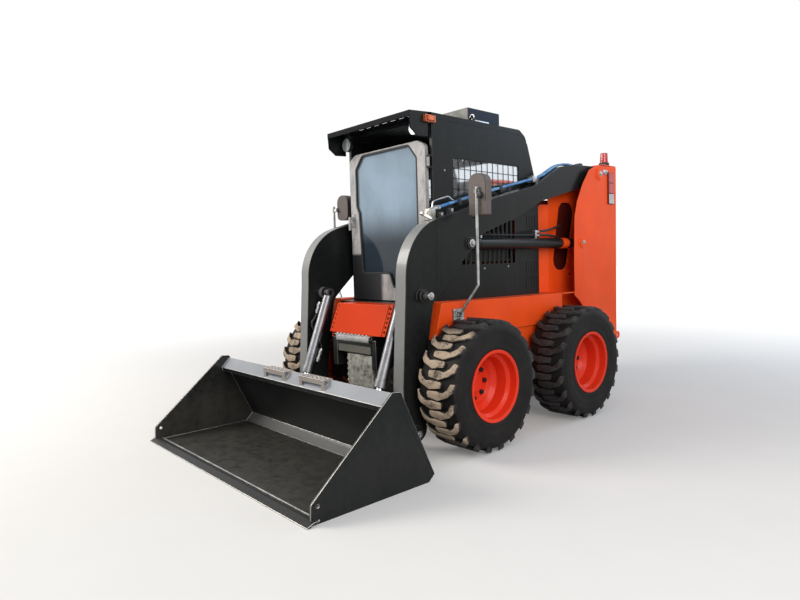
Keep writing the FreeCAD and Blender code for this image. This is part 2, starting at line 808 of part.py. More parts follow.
def coupler():
    """Coupler frame behind the bucket's back, with ears for the arms and the tilt rods."""
    rear = floor_plate + seat_gap
    plate = [
        beside(back_foot, back_head, 40, rear),
        beside(back_foot, back_head, 430, rear),
        beside(back_foot, back_head, 430, rear + 12),
        beside(back_foot, back_head, 40, rear + 12),
    ]
    half = 600.0
    frame = slab_x(plate, -half, half)
    window = [
        beside(back_foot, back_head, 90, rear - 5),
        beside(back_foot, back_head, 380, rear - 5),
        beside(back_foot, back_head, 380, rear + 20),
        beside(back_foot, back_head, 90, rear + 20),
    ]
    notch = [
        window[0],
        beside(back_foot, back_head, 440, rear - 5),
        beside(back_foot, back_head, 440, rear + 20),
        window[3],
    ]
    eye_gap = tilt_barrel_radius + swing_gap
    windows = [
        slab_x(window, -320, 320),
        slab_x(notch, tilt_x - eye_gap, tilt_x + eye_gap),
        slab_x(notch, -tilt_x - eye_gap, -tilt_x + eye_gap),
    ]
    frame = frame.cut(windows)
    low = beside(back_foot, back_head, 60, rear + 11)
    high = beside(back_foot, back_head, 360, rear + 11)
    ear = [
        low,
        high,
        (tilt_rod_pin[0] + 10, tilt_rod_pin[1] + 48, 40),
        (tilt_rod_pin[0] + 66, tilt_rod_pin[1] - 20, 60),
        (bucket_pivot[0] + 30, bucket_pivot[1] + 52, 40),
        (bucket_pivot[0] + 56, bucket_pivot[1] - 40, 42),
        (bucket_pivot[0] - 60, bucket_pivot[1] - 62, 60),
    ]
    outer_ear = [
        low,
        beside(back_foot, back_head, 200, rear + 11),
        (bucket_pivot[0] + 10, bucket_pivot[1] + 55, 42),
        (bucket_pivot[0] + 56, bucket_pivot[1] - 40, 42),
        (bucket_pivot[0] - 60, bucket_pivot[1] - 62, 60),
    ]
    thick_ear = slab_x(ear, tilt_x + eye_gap, arm_inner_x - swing_gap)
    thin_ear = slab_x(ear, tilt_x - eye_gap - 12, tilt_x - eye_gap)
    far_ear = slab_x(outer_ear, arm_outer_x + swing_gap, arm_outer_x + swing_gap + 12)
    pin_end = arm_outer_x + swing_gap + 16
    pin = bar_x(*bucket_pivot, link_pin_radius, tilt_x + eye_gap + 1, pin_end)
    stub = bar_x(*tilt_rod_pin, link_pin_radius + 8, tilt_x - eye_gap - 22, tilt_x - eye_gap - 11)
    side = [thick_ear, thin_ear, far_ear, pin, stub]
    body = frame.fuse(side + [mirrored(s) for s in side])
    return body.removeSplitter()


save("bucket", bucket())
save("cutting_edge", cutting_edge())
save("coupler", coupler())


# Front of the chassis


front_top = deck_height - 4
front_bottom = deck_height - 200
front_half = 265.0
front_slope = [(-292, front_top), (-375, front_bottom)]
slotted_width = 35.0


def front_plate():
    """Sloping plate under the door, with a slotted flange and a cheek at each side."""
    back = tub_front - seat_gap
    section = [(back, front_top)] + front_slope + [(back, front_bottom)]
    shell = slab_x(section, -front_half, front_half)
    shell = shell.cut(inset(section, fender_wall, -front_half + fender_wall, front_half - fender_wall))
    strip = [(y + 8, z) for y, z in front_slope] + [(y + 14, z) for y, z in front_slope[::-1]]
    side = [(back, front_top), (-276, front_top), (-350, front_bottom - 40), (back, front_bottom - 40)]
    outer = front_half + slotted_width
    flange = slab_x(strip, front_half - 1, outer).fuse(slab_x(side, outer - fender_wall, outer))
    slots = []
    for i in range(6):
        y, z = toward(*front_slope, 24 + 32 * i)
        slots.append(box(front_half + 8, outer - 9, y - 10, y + 30, z - 8, z + 8))
    flange = flange.cut(slots)
    return shell.fuse([flange, mirrored(flange)]).removeSplitter()


def front_step():
    """Serrated step under the front plate, on a riser and two angle brackets."""
    front, rear = -405.0, -345.0
    top = front_bottom - 5
    riser_y = front_slope[-1][0] - 12
    tread = box(-194, 194, front, rear, top - 6, top)
    teeth = [box(x, x + 20, front - 1, front + 14, top - 7, top + 1) for x in range(-176, 160, 40)]
    riser = box(-175, 175, riser_y, riser_y + 6, top - 120, top - 5)
    pieces = [riser]
    for x in (-194, 188):
        pieces.append(box(x, x + 6, riser_y, tub_front - seat_gap, top - 222, top - 5))
    for x in (-233, 188):
        pieces.append(box(x, x + 45, riser_y, riser_y + 6, top - 222, top - 25))
    return tread.cut(teeth).fuse(pieces).removeSplitter()


def front_hydraulics():
    """Valve block under the step, with its ports."""
    top = front_bottom - 138
    block = box(-92, 182, -372, tub_front - seat_gap, top - 213, top)
    ports = [bar_x(-350, top - 40 - 38 * i, 13, -112, 187) for i in range(5)]
    return block.fuse(ports).removeSplitter()


save("front_plate", front_plate())
save("front_step", front_step())
save("front_hydraulics", front_hydraulics())


# Cab


cab_outline = [
    (cab_front, 0),
    (cab_front, roof_bottom),
    (893, roof_bottom, 60),
    (996, 1155, 60),
    (1094, 884),
    (1094, 735),
    (845, 655),
    (845, 0),
]
window_outline = [(165, 691, 12), (165, 968, 12), (893, 968, 12), (893, 691, 12)]

# Slotted openings: first y, slot width, pitch, count, then low and high z
side_slots = (236.0, 33.0, 51.0, 12, 245.0, 560.0)
panel_slots = [
    (962.0, slot_width, 34.0, 5, 38.0, 137.0),
    (966.0, slot_width, 34.0, 5, 157.0, 258.0),
    (974.0, slot_width, 34.0, 4, 504.0, 604.0),
]


def slots_x(row, x0, x1):
    """Upright slots through a side plate, from one row of the tables above."""
    first, width, pitch, count, low, high = row
    return [box(x0, x1, first + pitch * i, first + pitch * i + width, low, high) for i in range(count)]


def cab_side():
    """Left wall of the cab, with its window, slotted opening and marker lamp."""
    inside = cab_half_width - cab_wall
    wall = slab_x(cab_outline, inside, cab_half_width)
    window = slab_x(window_outline, inside - 1, cab_half_width + 1)
    wall = wall.cut(slots_x(side_slots, inside - 1, cab_half_width + 1) + [window])
    first, width, pitch, count, low, high = side_slots
    recess = box(inside - 1, cab_half_width - 6, first - 12, first + pitch * count, low - 12, high + 12)
    return wall.cut(recess)


def hinge_pins():
    """Pins and lugs of the front door, on the cab's left wall."""
    pieces = []
    for z in door_hinges:
        pieces.append(Part.makeCylinder(hinge_pin_radius, hinge_length + 28, V(hinge_x, hinge_y, z - 14)))
        for low in (z - 12 - seat_gap, z + hinge_length + seat_gap):
            lug = box(hinge_x - 8, hinge_x + 14, hinge_y - 8, cab_front + 1, low, low + 12)
            pieces.append(lug)
    return pieces


left_cab_side = cab_side()
left_with_hinges = left_cab_side.fuse(hinge_pins()).removeSplitter()
save("cab_sides", on_deck(left_with_hinges), on_deck(mirrored(left_cab_side)))


def side_guard():
    """Welded mesh guard of the left window, one flat plate with square openings."""
    low, high = window_outline[0][1] + seat_gap, window_outline[1][1] - seat_gap
    front, rear = window_outline[0][0] + seat_gap, window_outline[2][0] - seat_gap
    corner = window_outline[0][2]
    outline = [(front, low, corner), (front, high, corner), (rear, high, corner), (rear, low, corner)]
    x = cab_half_width - 10
    mesh = slab_x(outline, x, x + guard_bar)
    wide = (rear - front - guard_bar) / guard_columns
    tall = (high - low - guard_bar) / guard_rows
    holes = []
    for i in range(guard_columns):
        for j in range(guard_rows):
            y = front + guard_bar + wide * i
            z = low + guard_bar + tall * j
            holes.append(box(x - 1, x + guard_bar + 1, y, y + wide - guard_bar, z, z + tall - guard_bar))
    return mesh.cut(holes)


mesh = on_deck(side_guard())
save("window_guards", mesh, mirrored(mesh))
side_pane = on_deck(inset(window_outline, seat_gap, cab_half_width - 18, cab_half_width - 12))
save("side_glass", side_pane, mirrored(side_pane))


def under_visor(y):
    """Height of the visor's underside, above the cab's base."""
    share = (y - visor_front) / (cab_front - visor_front)
    return visor_edge + (roof_top - visor_edge) * share - visor_sheet


def cab_roof():
    """Roof with a rounded rear end, the slotted visor, its cheeks and the lifting eyes."""
    low = roof_bottom + seat_gap
    section = [
        (cab_front, low),
        (cab_front, roof_top),
        (905, roof_top, 45),
        (972, roof_top - 43, 45),
        (990, roof_bottom - 39),
        (990, roof_bottom - 40.7),
        (893.1, low),
    ]
    slab = slab_x(section, -cab_half_width, cab_half_width)
    visor = [
        (cab_front + 1, roof_top),
        (visor_front, visor_edge),
        (visor_front, visor_edge - 36),
        (visor_front + visor_sheet, visor_edge - 36),
        (visor_front + visor_sheet, under_visor(visor_front + visor_sheet)),
        (cab_front + 1, under_visor(cab_front + 1)),
    ]
    visor = slab_x(visor, -cab_half_width, cab_half_width)
    cheek = [(visor_front, visor_edge - 2), (-221, 1118), (-161, 1074), (-66, 1079), (-66, under_visor(-66) + 2)]
    cheeks = [slab_x(cheek, x - 8, x) for x in (cab_half_width, 8 - cab_half_width)]
    openings = []
    for y, offset in ((-205, 0), (-179, 43), (-121, 0), (-95, 43)):
        for i in range(7):
            x = -290 + 86 * i + offset
            openings.append(box(x, x + 60, y, y + 17, under_visor(y) - 5, roof_top + 5))
    body = slab.fuse([visor.cut(openings)] + cheeks)
    for x in (-lifting_eye_x, lifting_eye_x):
        lobe = bar_x(lifting_eye_y, roof_top + 18, 24, x - 5, x + 5)
        lobe = lobe.fuse(box(x - 5, x + 5, lifting_eye_y - 24, lifting_eye_y + 24, roof_top - 1, roof_top + 18))
        body = body.fuse(lobe.cut(bar_x(lifting_eye_y, roof_top + 20, 13, x - 6, x + 6)))
    return body.removeSplitter()


lifting_eye_x = 395.0
lifting_eye_y = 421.0
save("cab_roof", on_deck(cab_roof()))
marker = box(cab_half_width + seat_gap, cab_half_width + 22, -110, -12, 1168, 1214)
marker = marker.fuse(box(cab_half_width + 20, cab_half_width + 30, -96, -26, 1176, 1206))
marker = on_deck(marker.removeSplitter())
save("marker_lamps", marker, mirrored(marker))


def cab_rear():
    """Slanted rear wall between the cab's sides, with its window."""
    wall = [
        (893, 1198),
        (985, 1145),
        (1088, 875),
        (1088, 740),
        (1064, 740),
        (1064, 871),
        (962, 1135),
        (886, 1175),
    ]
    half = cab_half_width - cab_wall - seat_gap
    panel = slab_x(wall, -half, half)
    window = slab_y([(-330, 795), (-330, 1055), (330, 1055), (330, 795)], 900, 1200)
    return panel.cut(window)


save("cab_rear", on_deck(cab_rear()))


def cab_floor():
    """Floor pan with the seat riser, the wall behind the seat and the two arm rests."""
    half = cab_half_width - cab_wall - seat_gap
    section = [
        (cab_front, 0),
        (cab_front, cab_pan),
        (330, cab_pan),
        (330, 275),
        (800, 275),
        (800, 735),
        (1064, 735),
        (1064, 723),
        (812, 723),
        (812, 263),
        (342, 263),
        (342, 0),
    ]
    pan = slab_x(section, -half, half)
    rests = [box(x, x + 120, 300, 760, 274, 470) for x in (half - 121, 1 - half)]
    return pan.fuse(rests).removeSplitter()


save("cab_floor", on_deck(cab_floor()))


# Cab door


glass_outline = [
    (-305, 645, 30),
    (-330, 695, 30),
    (-330, 965, 40),
    (-250, 1060, 40),
    (250, 1060, 40),
    (330, 965, 40),
    (330, 195, 40),
    (250, 95, 40),
    (60, 95, 30),
    (20, 195, 30),
    (-280, 195, 30),
]


def door_frame():
    """Pressed frame of the front door with its hinge barrels and latch handle."""
    top = roof_bottom - 128
    outline = [
        (door_free_x, door_base, 20),
        (door_free_x, top - 36, 40),
        (door_free_x + 70, top, 40),
        (door_half_width - 70, top, 40),
        (door_half_width, top - 36, 40),
        (door_half_width, door_base, 20),
    ]
    frame = slab_y(outline, door_y - door_thickness, door_y)
    frame = frame.cut(slab_y(glass_outline, door_y - door_thickness - 1, door_y + 1))
    leaves = []
    for z in door_hinges:
        leaves.append(Part.makeCylinder(hinge_radius, hinge_length, V(hinge_x, hinge_y, z)))
        leaves.append(box(door_half_width - 1, hinge_x, hinge_y - 4, hinge_y + 4, z, z + hinge_length))
    plate = box(-385, -349, hinge_y - 20, hinge_y - 10, 545, 640)
    handle = box(-378, -356, hinge_y - 56, hinge_y - 19, 600, 620).fuse(box(-378, -356, hinge_y - 56, hinge_y - 44, 520, 620))
    frame = frame.fuse(leaves + [plate, handle])
    bore = hinge_pin_radius + pin_clearance
    bores = [Part.makeCylinder(bore, hinge_length + 2, V(hinge_x, hinge_y, z - 1)) for z in door_hinges]
    return frame.cut(bores).removeSplitter()


def door_glass():
    """Flat pane that stands in the middle of the door frame."""
    middle = door_y - door_thickness / 2
    face = Part.Face(wire(glass_outline, lambda x, z: V(x, middle, z)))
    pane = Part.Face(face.makeOffset2D(-seat_gap).Wires[0])
    return pane.extrude(V(0, glass_thickness, 0))


save("door_frame", on_deck(door_frame()))
save("door_glass", on_deck(door_glass()))


# Engine bay and rear


engine_base = tub_bottom + tub_wall + seat_gap
save("engine_block", box(-230, 230, 1180, 1800, engine_base, deck_height - 25))


def side_panel():
    """Vented panel of the left side of the engine bay, between the cab and the upright."""
    front = cab_outline[-1][0] + seat_gap
    rear = 1132 - seat_gap
    outline = [(front, 0), (front, 655 - seat_gap), (1094, 735 - seat_gap), (rear, 735), (rear, 0)]
    panel = slab_x(outline, cab_half_width - 8, cab_half_width)
    for row in panel_slots:
        panel = panel.cut(slots_x(row, cab_half_width - 9, cab_half_width + 1))
    return panel


left_panel = on_deck(side_panel())
save("side_panels", left_panel, mirrored(left_panel))


def engine_hood():
    """Sheet cover behind the cab, with a slotted lid and feet against the uprights."""
    front, rear = 1132 - seat_gap - hood_sheet, door_face - 34
    lid = [(front, hood_high), (1700, hood_high), (rear, rear_door_top)]
    section = [(front, hood_low)] + lid + [(rear, hood_low)]
    hood = slab_x(section, -hood_half, hood_half)
    hollow = section[:-1] + [(rear, hood_low - 30), (front, hood_low - 30)]
    room = (-hood_half + hood_sheet, hood_half - hood_sheet)
    slots = [box(-260, 260, y, y + 18, hood_high - 20, hood_high + 1) for y in range(1240, 1680, 44)]
    hood = hood.cut([inset(hollow[1:], hood_sheet, *room)] + slots)
    feet = []
    for y in (1700, 1850):
        foot = box(hood_half - 1, upright_inner_x - seat_gap, y, y + 60, hood_low, hood_low + 30)
        feet += [foot, mirrored(foot)]
    return hood.fuse(feet).removeSplitter()


save("engine_hood", engine_hood())
bay_half = upright_inner_x - swing_gap
bumper_top = deck_height - 215
save("rear_bumper", box(-bay_half, bay_half, tub_rear + seat_gap, rear_end, 455, bumper_top))


def rear_door():
    """Engine door that swings on the machine's left, with its slots and latch."""
    low, high = bumper_top + 10, rear_door_top
    edge = rear_hinge[0] - 14
    leaf = box(-bay_half, edge, door_face - 26, door_face, low, high)
    slots = [box(-300, 300, door_face - 27, door_face + 1, z, z + 16) for z in range(1180, 1520, 36)]
    leaf = leaf.cut(slots)
    leaf = leaf.fuse(box(-bay_half + 30, -bay_half + 60, door_face - 1, door_face + 16, low + 130, low + 230))
    for z in rear_hinge_heights:
        leaf = leaf.fuse(Part.makeCylinder(hinge_radius, hinge_length, V(*rear_hinge, z)))
        leaf = leaf.fuse(box(edge - 1, rear_hinge[0], door_face - 8, door_face, z, z + hinge_length))
        leaf = leaf.cut(Part.makeCylinder(hinge_pin_radius + pin_clearance, hinge_length + 2, V(*rear_hinge, z - 1)))
    return leaf.removeSplitter()


save("rear_door", rear_door())


# Fittings


ac_base = roof_top + seat_gap
save("ac_unit", on_deck(box(-300, 300, 486, 844, ac_base, ac_base + 135)))
seat_low = 275 + seat_gap
seat_base = box(-190, 190, 400, 760, seat_low, seat_low + 70)
save("seat_base", on_deck(seat_base))
cushion_low = seat_low + 70 + seat_gap
cushion_top = cushion_low + 90
cushion = box(-230, 230, 372, 750, cushion_low, cushion_top)
back_low = cushion_top + seat_gap
backrest = slab_x([(690, back_low), (770, back_low), (796, 720), (716, 735)], -225, 225)
save("seat", on_deck(cushion), on_deck(backrest))
lever_foot = box(230, 290, 150, 210, cab_pan + seat_gap, 45)
lever_stem = bar((260, 180, 35), (260, 120, 445), 12)
lever_grip = bar((260, 120, 440), (260, 115, 535), 20)
lever = on_deck(lever_foot.fuse([lever_stem, lever_grip]))
save("control_levers", lever, mirrored(lever))
beacon_x = upright_outer_x - 42
beacon_base = upright_top + 7 + seat_gap
beacon_y = 1898.0
beacon = Part.makeCylinder(40, 22, V(beacon_x, beacon_y, beacon_base))
beacon = beacon.fuse(Part.makeCone(34, 29, 84, V(beacon_x, beacon_y, beacon_base + 21)))
save("beacon", beacon.removeSplitter())
lamp = box(upright_outer_x + seat_gap, upright_outer_x + 14, 1852, 1988, 1620, 1876)
lamp_grooves = [box(upright_outer_x + 9, upright_outer_x + 15, 1851, 1989, z, z + 5) for z in (1702, 1790)]
lamp = lamp.cut(lamp_grooves)
save("tail_lamps", lamp, mirrored(lamp))
work_lamp = bar((360, -118, 1145), (360, -92, 1145), 48)
work_lamp = work_lamp.fuse(Part.makeCone(48, 28, 22, V(360, -93, 1145), V(0, 1, 0)))
lamp_bracket = box(345, 375, -114, -98, 1185, under_visor(-114) - seat_gap)
work_lamp = on_deck(work_lamp.fuse(lamp_bracket))
save("work_lamps", work_lamp, mirrored(work_lamp))


def mirror_arm(head_inner, head_outer):
    """Mirror on the left fender: bracket plate, bent rod and head."""
    plate = box(fender_outer_x + seat_gap, fender_outer_x + 6, -47, 60, deck_height - 120, deck_height - 31)
    foot_z = deck_height - 69
    path = [(fender_outer_x + 16, 5, foot_z), (mirror_rod_x, 35, 1026), (mirror_rod_x, 35, 1640)]
    low, high = 1526, 1722
    head = [(head_inner, low, 40), (head_inner, high, 60), (head_outer, high, 60), (head_outer, low, 40)]
    head = slab_y(head, mirror_front, mirror_front + 60)
    stay_inner = min(mirror_rod_x, head_outer) - 20
    stay = box(stay_inner, mirror_rod_x + 12, 30, mirror_front + 1, 1596, 1624)
    foot = box(fender_outer_x + 5, fender_outer_x + 26, -8, 18, foot_z - 14, foot_z + 12)
    return plate.fuse([foot, swept(path, 9), head, stay]).removeSplitter()


mirror_front = 52.0
mirror_rod_x = 750.0
save("mirrors", mirror_arm(667, 808), mirrored(mirror_arm(591, 731)))
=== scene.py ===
import bpy
import bmesh
import json
import math
from mathutils import Matrix, Vector


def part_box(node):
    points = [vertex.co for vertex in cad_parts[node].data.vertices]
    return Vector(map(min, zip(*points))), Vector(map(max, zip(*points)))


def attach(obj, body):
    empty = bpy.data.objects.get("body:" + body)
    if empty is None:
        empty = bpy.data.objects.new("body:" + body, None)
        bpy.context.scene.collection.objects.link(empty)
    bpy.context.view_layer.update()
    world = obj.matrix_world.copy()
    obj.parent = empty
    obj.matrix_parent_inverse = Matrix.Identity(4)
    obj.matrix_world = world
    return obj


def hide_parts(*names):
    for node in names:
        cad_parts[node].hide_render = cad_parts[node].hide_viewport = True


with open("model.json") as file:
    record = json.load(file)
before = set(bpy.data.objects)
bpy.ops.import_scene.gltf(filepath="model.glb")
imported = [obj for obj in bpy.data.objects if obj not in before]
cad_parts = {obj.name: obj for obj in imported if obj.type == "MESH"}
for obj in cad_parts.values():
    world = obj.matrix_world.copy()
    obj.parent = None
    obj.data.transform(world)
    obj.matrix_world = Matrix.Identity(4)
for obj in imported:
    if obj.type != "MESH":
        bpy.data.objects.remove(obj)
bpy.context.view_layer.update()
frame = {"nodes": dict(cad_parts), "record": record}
nodes = frame["nodes"]
body_of = {name: body for body, names in frame["record"]["behaviour"]["bodies"].items() for name in names}


# Camera, at the photograph's viewing angle

sensor_width = 36.0
photo_width, photo_height = 800, 600
focal_pixels = 599.57
camera_place = Vector((3.2111, -3.1716, 1.1949))
camera_turn, camera_dip, camera_roll = -0.8371, 0.0663, 0.0286


def set_camera():
    """Camera fitted to the photograph by the machine's own symmetry."""
    data = bpy.data.cameras.new("camera")
    data.sensor_width = sensor_width
    data.lens = focal_pixels * sensor_width / photo_width
    data.clip_end = 200
    ahead = Vector((math.sin(camera_turn) * math.cos(camera_dip),
                    math.cos(camera_turn) * math.cos(camera_dip), -math.sin(camera_dip)))
    level = Vector((math.cos(camera_turn), -math.sin(camera_turn), 0))
    down = ahead.cross(level)
    right = math.cos(camera_roll) * level + math.sin(camera_roll) * down
    down = math.cos(camera_roll) * down - math.sin(camera_roll) * level
    turn = Matrix((right, -down, -ahead)).transposed()
    camera = bpy.data.objects.new("camera", data)
    camera.matrix_world = Matrix.Translation(camera_place) @ turn.to_4x4()
    bpy.context.scene.collection.objects.link(camera)
    bpy.context.scene.camera = camera


# Shader wiring

front_axle = sum(corner[1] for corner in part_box("hub_front_left")) / 2
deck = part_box("fenders")[1][2] - 0.013
sides = (1, -1)


class Wire:
    """One value in a shader, which adds, takes away and multiplies like a number."""

    def __init__(self, finish, socket):
        self.finish, self.socket = finish, socket

    def __add__(self, other):
        return self.finish.maths("ADD", self, other)

    def __sub__(self, other):
        return self.finish.maths("SUBTRACT", self, other)

    def __mul__(self, other):
        return self.finish.maths("MULTIPLY", self, other)

    def __rsub__(self, other):
        return self.finish.maths("SUBTRACT", other, self)

    __radd__ = __add__
    __rmul__ = __mul__


class Finish:
    """A material: its shader, and the nodes that vary it over a surface."""

    def __init__(self, name, **uniform):
        self.material = bpy.data.materials.new(name)
        self.material.use_nodes = True
        self.tree = self.material.node_tree
        self.shader = self.tree.nodes["Principled BSDF"]
        for socket, value in uniform.items():
            self.shader.inputs[socket.replace("_", " ").title().replace("Ior", "IOR")].default_value = value

    def node(self, kind, settings, values, output=0):
        """Adds a node. Its settings come first, then values or wires by socket."""
        added = self.tree.nodes.new(kind)
        for key, value in settings.items():
            setattr(added, key, value)
        for key, value in values.items():
            if isinstance(value, Wire):
                self.tree.links.new(value.socket, added.inputs[key])
            else:
                added.inputs[key].default_value = value
        return Wire(self, added.outputs[output])

    def place(self):
        return self.node("ShaderNodeTexCoord", {}, {}, "Object")

    def maths(self, operation, first, second=0.0):
        return self.node("ShaderNodeMath", {"operation": operation}, {0: first, 1: second})

    def along(self, axis):
        return self.node("ShaderNodeSeparateXYZ", {}, {0: self.place()}, axis)

    def noise(self, scale, detail=4.0, roughness=0.55, stretch=(1.0, 1.0, 1.0), shift=(0.0, 0.0, 0.0)):
        mapped = self.node("ShaderNodeMapping", {}, {"Vector": self.place(), "Scale": stretch, "Location": shift})
        values = {"Vector": mapped, "Scale": scale, "Detail": detail, "Roughness": roughness}
        return self.node("ShaderNodeTexNoise", {}, values)

    def fade(self, value, low, high, start=0.0, end=1.0):
        """Value turned smoothly from start, at low, to end, at high."""
        values = {"Value": value, "From Min": low, "From Max": high, "To Min": start, "To Max": end}
        return self.node("ShaderNodeMapRange", {"interpolation_type": "SMOOTHSTEP"}, values)

    def blend(self, share, first, second):
        """Colour between two colours."""
        settings = {"data_type": "RGBA", "clamp_factor": True}
        added = self.tree.nodes.new("ShaderNodeMix")
        for key, value in settings.items():
            setattr(added, key, value)
        for key, value in ((0, share), (6, first), (7, second)):
            if isinstance(value, Wire):
                self.tree.links.new(value.socket, added.inputs[key])
            else:
                added.inputs[key].default_value = value if key == 0 else (*value, 1.0)
        return Wire(self, added.outputs[2])

    def set(self, socket, wire):
        self.tree.links.new(wire.socket, self.shader.inputs[socket])

    def bump(self, height, strength, distance):
        values = {"Height": height, "Strength": strength, "Distance": distance}
        self.set("Normal", self.node("ShaderNodeBump", {}, values))


def paint(name, colour, dust_colour, roughness, dust_top, dust_share, gloss=0.06, shine=0.2):
    """Sprayed gloss paint with slight orange peel, and dust that gathers low down."""
    finish = Finish(name, coat_roughness=0.1, ior=1.45, specular_ior_level=shine)
    cloudy = finish.noise(1.7, 5.0)
    fine = finish.noise(23.0, 6.0, 0.7, shift=(3.0, 1.0, 7.0))
    streaks = finish.noise(9.0, 4.0, 0.6, stretch=(1.0, 1.0, 0.18))
    low_down = finish.fade(finish.along("Z"), dust_top, 0.15)
    dusty = finish.fade(fine * 0.55 + streaks * 0.45 + low_down * 0.22, 0.42, 0.86) * dust_share
    shade = tuple(part * 0.82 for part in colour)
    base = finish.blend(finish.fade(cloudy, 0.3, 0.7), shade, colour)
    finish.set("Base Color", finish.blend(dusty, base, dust_colour))
    finish.set("Roughness", roughness + fine * 0.1 + dusty * 0.45)
    finish.set("Coat Weight", gloss - dusty * gloss)
    finish.bump(finish.noise(420.0, 2.0), 0.05, 0.001)
    return finish.material


def metal(name, colour, roughness, grain, streak=(1.0, 1.0, 1.0), dull=0.3):
    """Bare or plated metal with fine grain and duller patches."""
    finish = Finish(name, metallic=1.0)
    patches = finish.noise(14.0, 5.0, 0.65)
    grains = finish.noise(grain, 3.0, stretch=streak)
    dark = tuple(part * (1 - dull) for part in colour)
    finish.set("Base Color", finish.blend(finish.fade(patches, 0.32, 0.68), dark, colour))
    finish.set("Roughness", roughness + patches * 0.16 + grains * 0.08)
    finish.bump(grains, 0.08, 0.0008)
    return finish.material


def moulded(name, colour, roughness, grain=260.0, rise=0.12):
    """Moulded plastic or rubber with a fine grain."""
    finish = Finish(name)
    cloud = finish.noise(6.0, 4.0)
    dark = tuple(part * 0.7 for part in colour)
    finish.set("Base Color", finish.blend(finish.fade(cloud, 0.3, 0.7), dark, colour))
    finish.set("Roughness", roughness + cloud * 0.12)
    finish.bump(finish.noise(grain, 3.0), rise, 0.001)
    return finish.material


def door_film_finish():
    """Clear protective film on the door: pale, wrinkled and full of small bubbles. Low down, on the side of the right
    arm, it is near black: painted shadow of that arm.
    """
    finish = Finish("door film with painted shadow", coat_roughness=0.2)
    wrinkles = finish.noise(16.0, 6.0, 0.7, stretch=(1.0, 1.0, 0.45))
    bubbles = finish.noise(90.0, 3.0, 0.6, shift=(5.0, 0.0, 2.0))
    pale = finish.fade(wrinkles * 0.7 + bubbles * 0.3, 0.36, 0.6)
    filmed = finish.blend(pale, (0.20, 0.20, 0.205), (0.40, 0.39, 0.39))
    above = finish.fade(finish.along("Z"), 1.235, 1.26)
    right_of_painted_shadow = finish.fade(finish.along("X"), -0.08, -0.04)
    film_outside_painted_shadow = finish.maths("MAXIMUM", above, right_of_painted_shadow)
    # Outside the film mask the colour is near black: painted shadow of the right arm
    finish.set("Base Color", finish.blend(film_outside_painted_shadow, (0.020, 0.022, 0.024), filmed))
    finish.set("Roughness", 0.24 + film_outside_painted_shadow * 0.14 + bubbles * 0.1)
    finish.bump(wrinkles * 0.6 + bubbles * 0.4, 0.22, 0.003)
    return finish.material


def glass_with_painted_sky(name, top, bottom, z_low, z_high, clear):
    """Window glass that is paler towards its top: a painted reflection of the sky. Noise patches roughen it as smears
    and pull its colour towards the lower one as painted reflection.
    """
    finish = Finish(name, transmission_weight=clear, ior=1.45)
    height = finish.fade(finish.along("Z"), z_low, z_high)
    smear_and_painted_reflection = finish.noise(3.0, 5.0, 0.6, stretch=(1.0, 1.0, 0.5))
    colour = finish.blend(height, bottom, top)
    finish.set("Base Color", finish.blend(finish.fade(smear_and_painted_reflection, 0.35, 0.75) * 0.35, colour, bottom))
    finish.set("Roughness", 0.03 + smear_and_painted_reflection * 0.06)
    return finish.material


def rubber_finish():
    """Tyre rubber, with dry mud on the lugs where the tread mark is high."""
    finish = Finish("tyre rubber", specular_ior_level=0.18)
    tread = finish.node("ShaderNodeAttribute", {"attribute_name": "tread"}, {}, "Fac")
    cloud = finish.noise(7.0, 6.0, 0.65)
    grit = finish.noise(70.0, 5.0, 0.7)
    forward = finish.fade(finish.along("Y"), front_axle - 0.17, front_axle - 0.25)
    clear_of_floor = finish.fade(finish.along("Z"), 0.08, 0.16)
    muddy = finish.fade(tread * 0.8 + cloud * 0.75 + grit * 0.3, 1.15, 1.36) * forward * clear_of_floor
    scuffed = tread * finish.fade(grit * 0.6 + cloud * 0.4, 0.3, 0.7)
    rubber = finish.blend(finish.fade(cloud, 0.3, 0.7), (0.0065, 0.006, 0.006), (0.012, 0.011, 0.0105))
    splashed = finish.fade(cloud * 0.6 + grit * 0.4, 0.5, 0.7) * 0.35
    walls = finish.blend(splashed, rubber, (0.030, 0.024, 0.020))
    side = finish.blend(scuffed, walls, (0.058, 0.055, 0.056))
    finish.set("Base Color", finish.blend(muddy * 0.85, side, (0.50, 0.39, 0.29)))
    finish.set("Roughness", 0.6 + muddy * 0.3)
    finish.bump(grit * 0.6 + finish.noise(300.0, 2.0) * 0.4, 0.25, 0.002)
    return finish.material


def wrapped_finish():
    """Hose under a blue spiral wrap: slanting bands with a groove between them, painted dark blue as shade."""
    finish = Finish("blue hose wrap", specular_ior_level=0.45)
    slant = finish.along("Y") * 430.0 + finish.along("X") * 260.0 + finish.along("Z") * 150.0
    band = finish.maths("SINE", slant)
    groove = finish.fade(band, -1.0, -0.35)
    cloud = finish.noise(18.0, 3.0)
    blue = finish.blend(finish.fade(cloud, 0.3, 0.7), (0.03, 0.17, 0.50), (0.20, 0.46, 0.80))
    # Dark blue in the groove: painted shade
    finish.set("Base Color", finish.blend(groove, (0.008, 0.03, 0.10), blue))
    finish.set("Roughness", 0.30 + cloud * 0.15)
    finish.bump(groove, 0.5, 0.002)
    return finish.material


def painted_glint_finish():
    """Crinkled dull silver, with painted glints in small patches and painted shade between them."""
    finish = Finish("silver with painted glints", specular_ior_level=0.5)
    folds = finish.noise(34.0, 6.0, 0.7)
    patches = finish.noise(14.0, 4.0, 0.6, shift=(2.0, 5.0, 1.0))
    painted_glints = finish.fade(folds * 0.6 + patches * 0.4, 0.36, 0.62)
    # Bright patches are painted glints; the dark between them is painted shade
    finish.set("Base Color", finish.blend(painted_glints, (0.09, 0.088, 0.075), (0.62, 0.61, 0.55)))
    finish.set("Metallic", 0.25 + painted_glints * 0.35)
    finish.set("Roughness", 0.5 - painted_glints * 0.15)
    finish.bump(folds, 0.8, 0.006)
    return finish.material


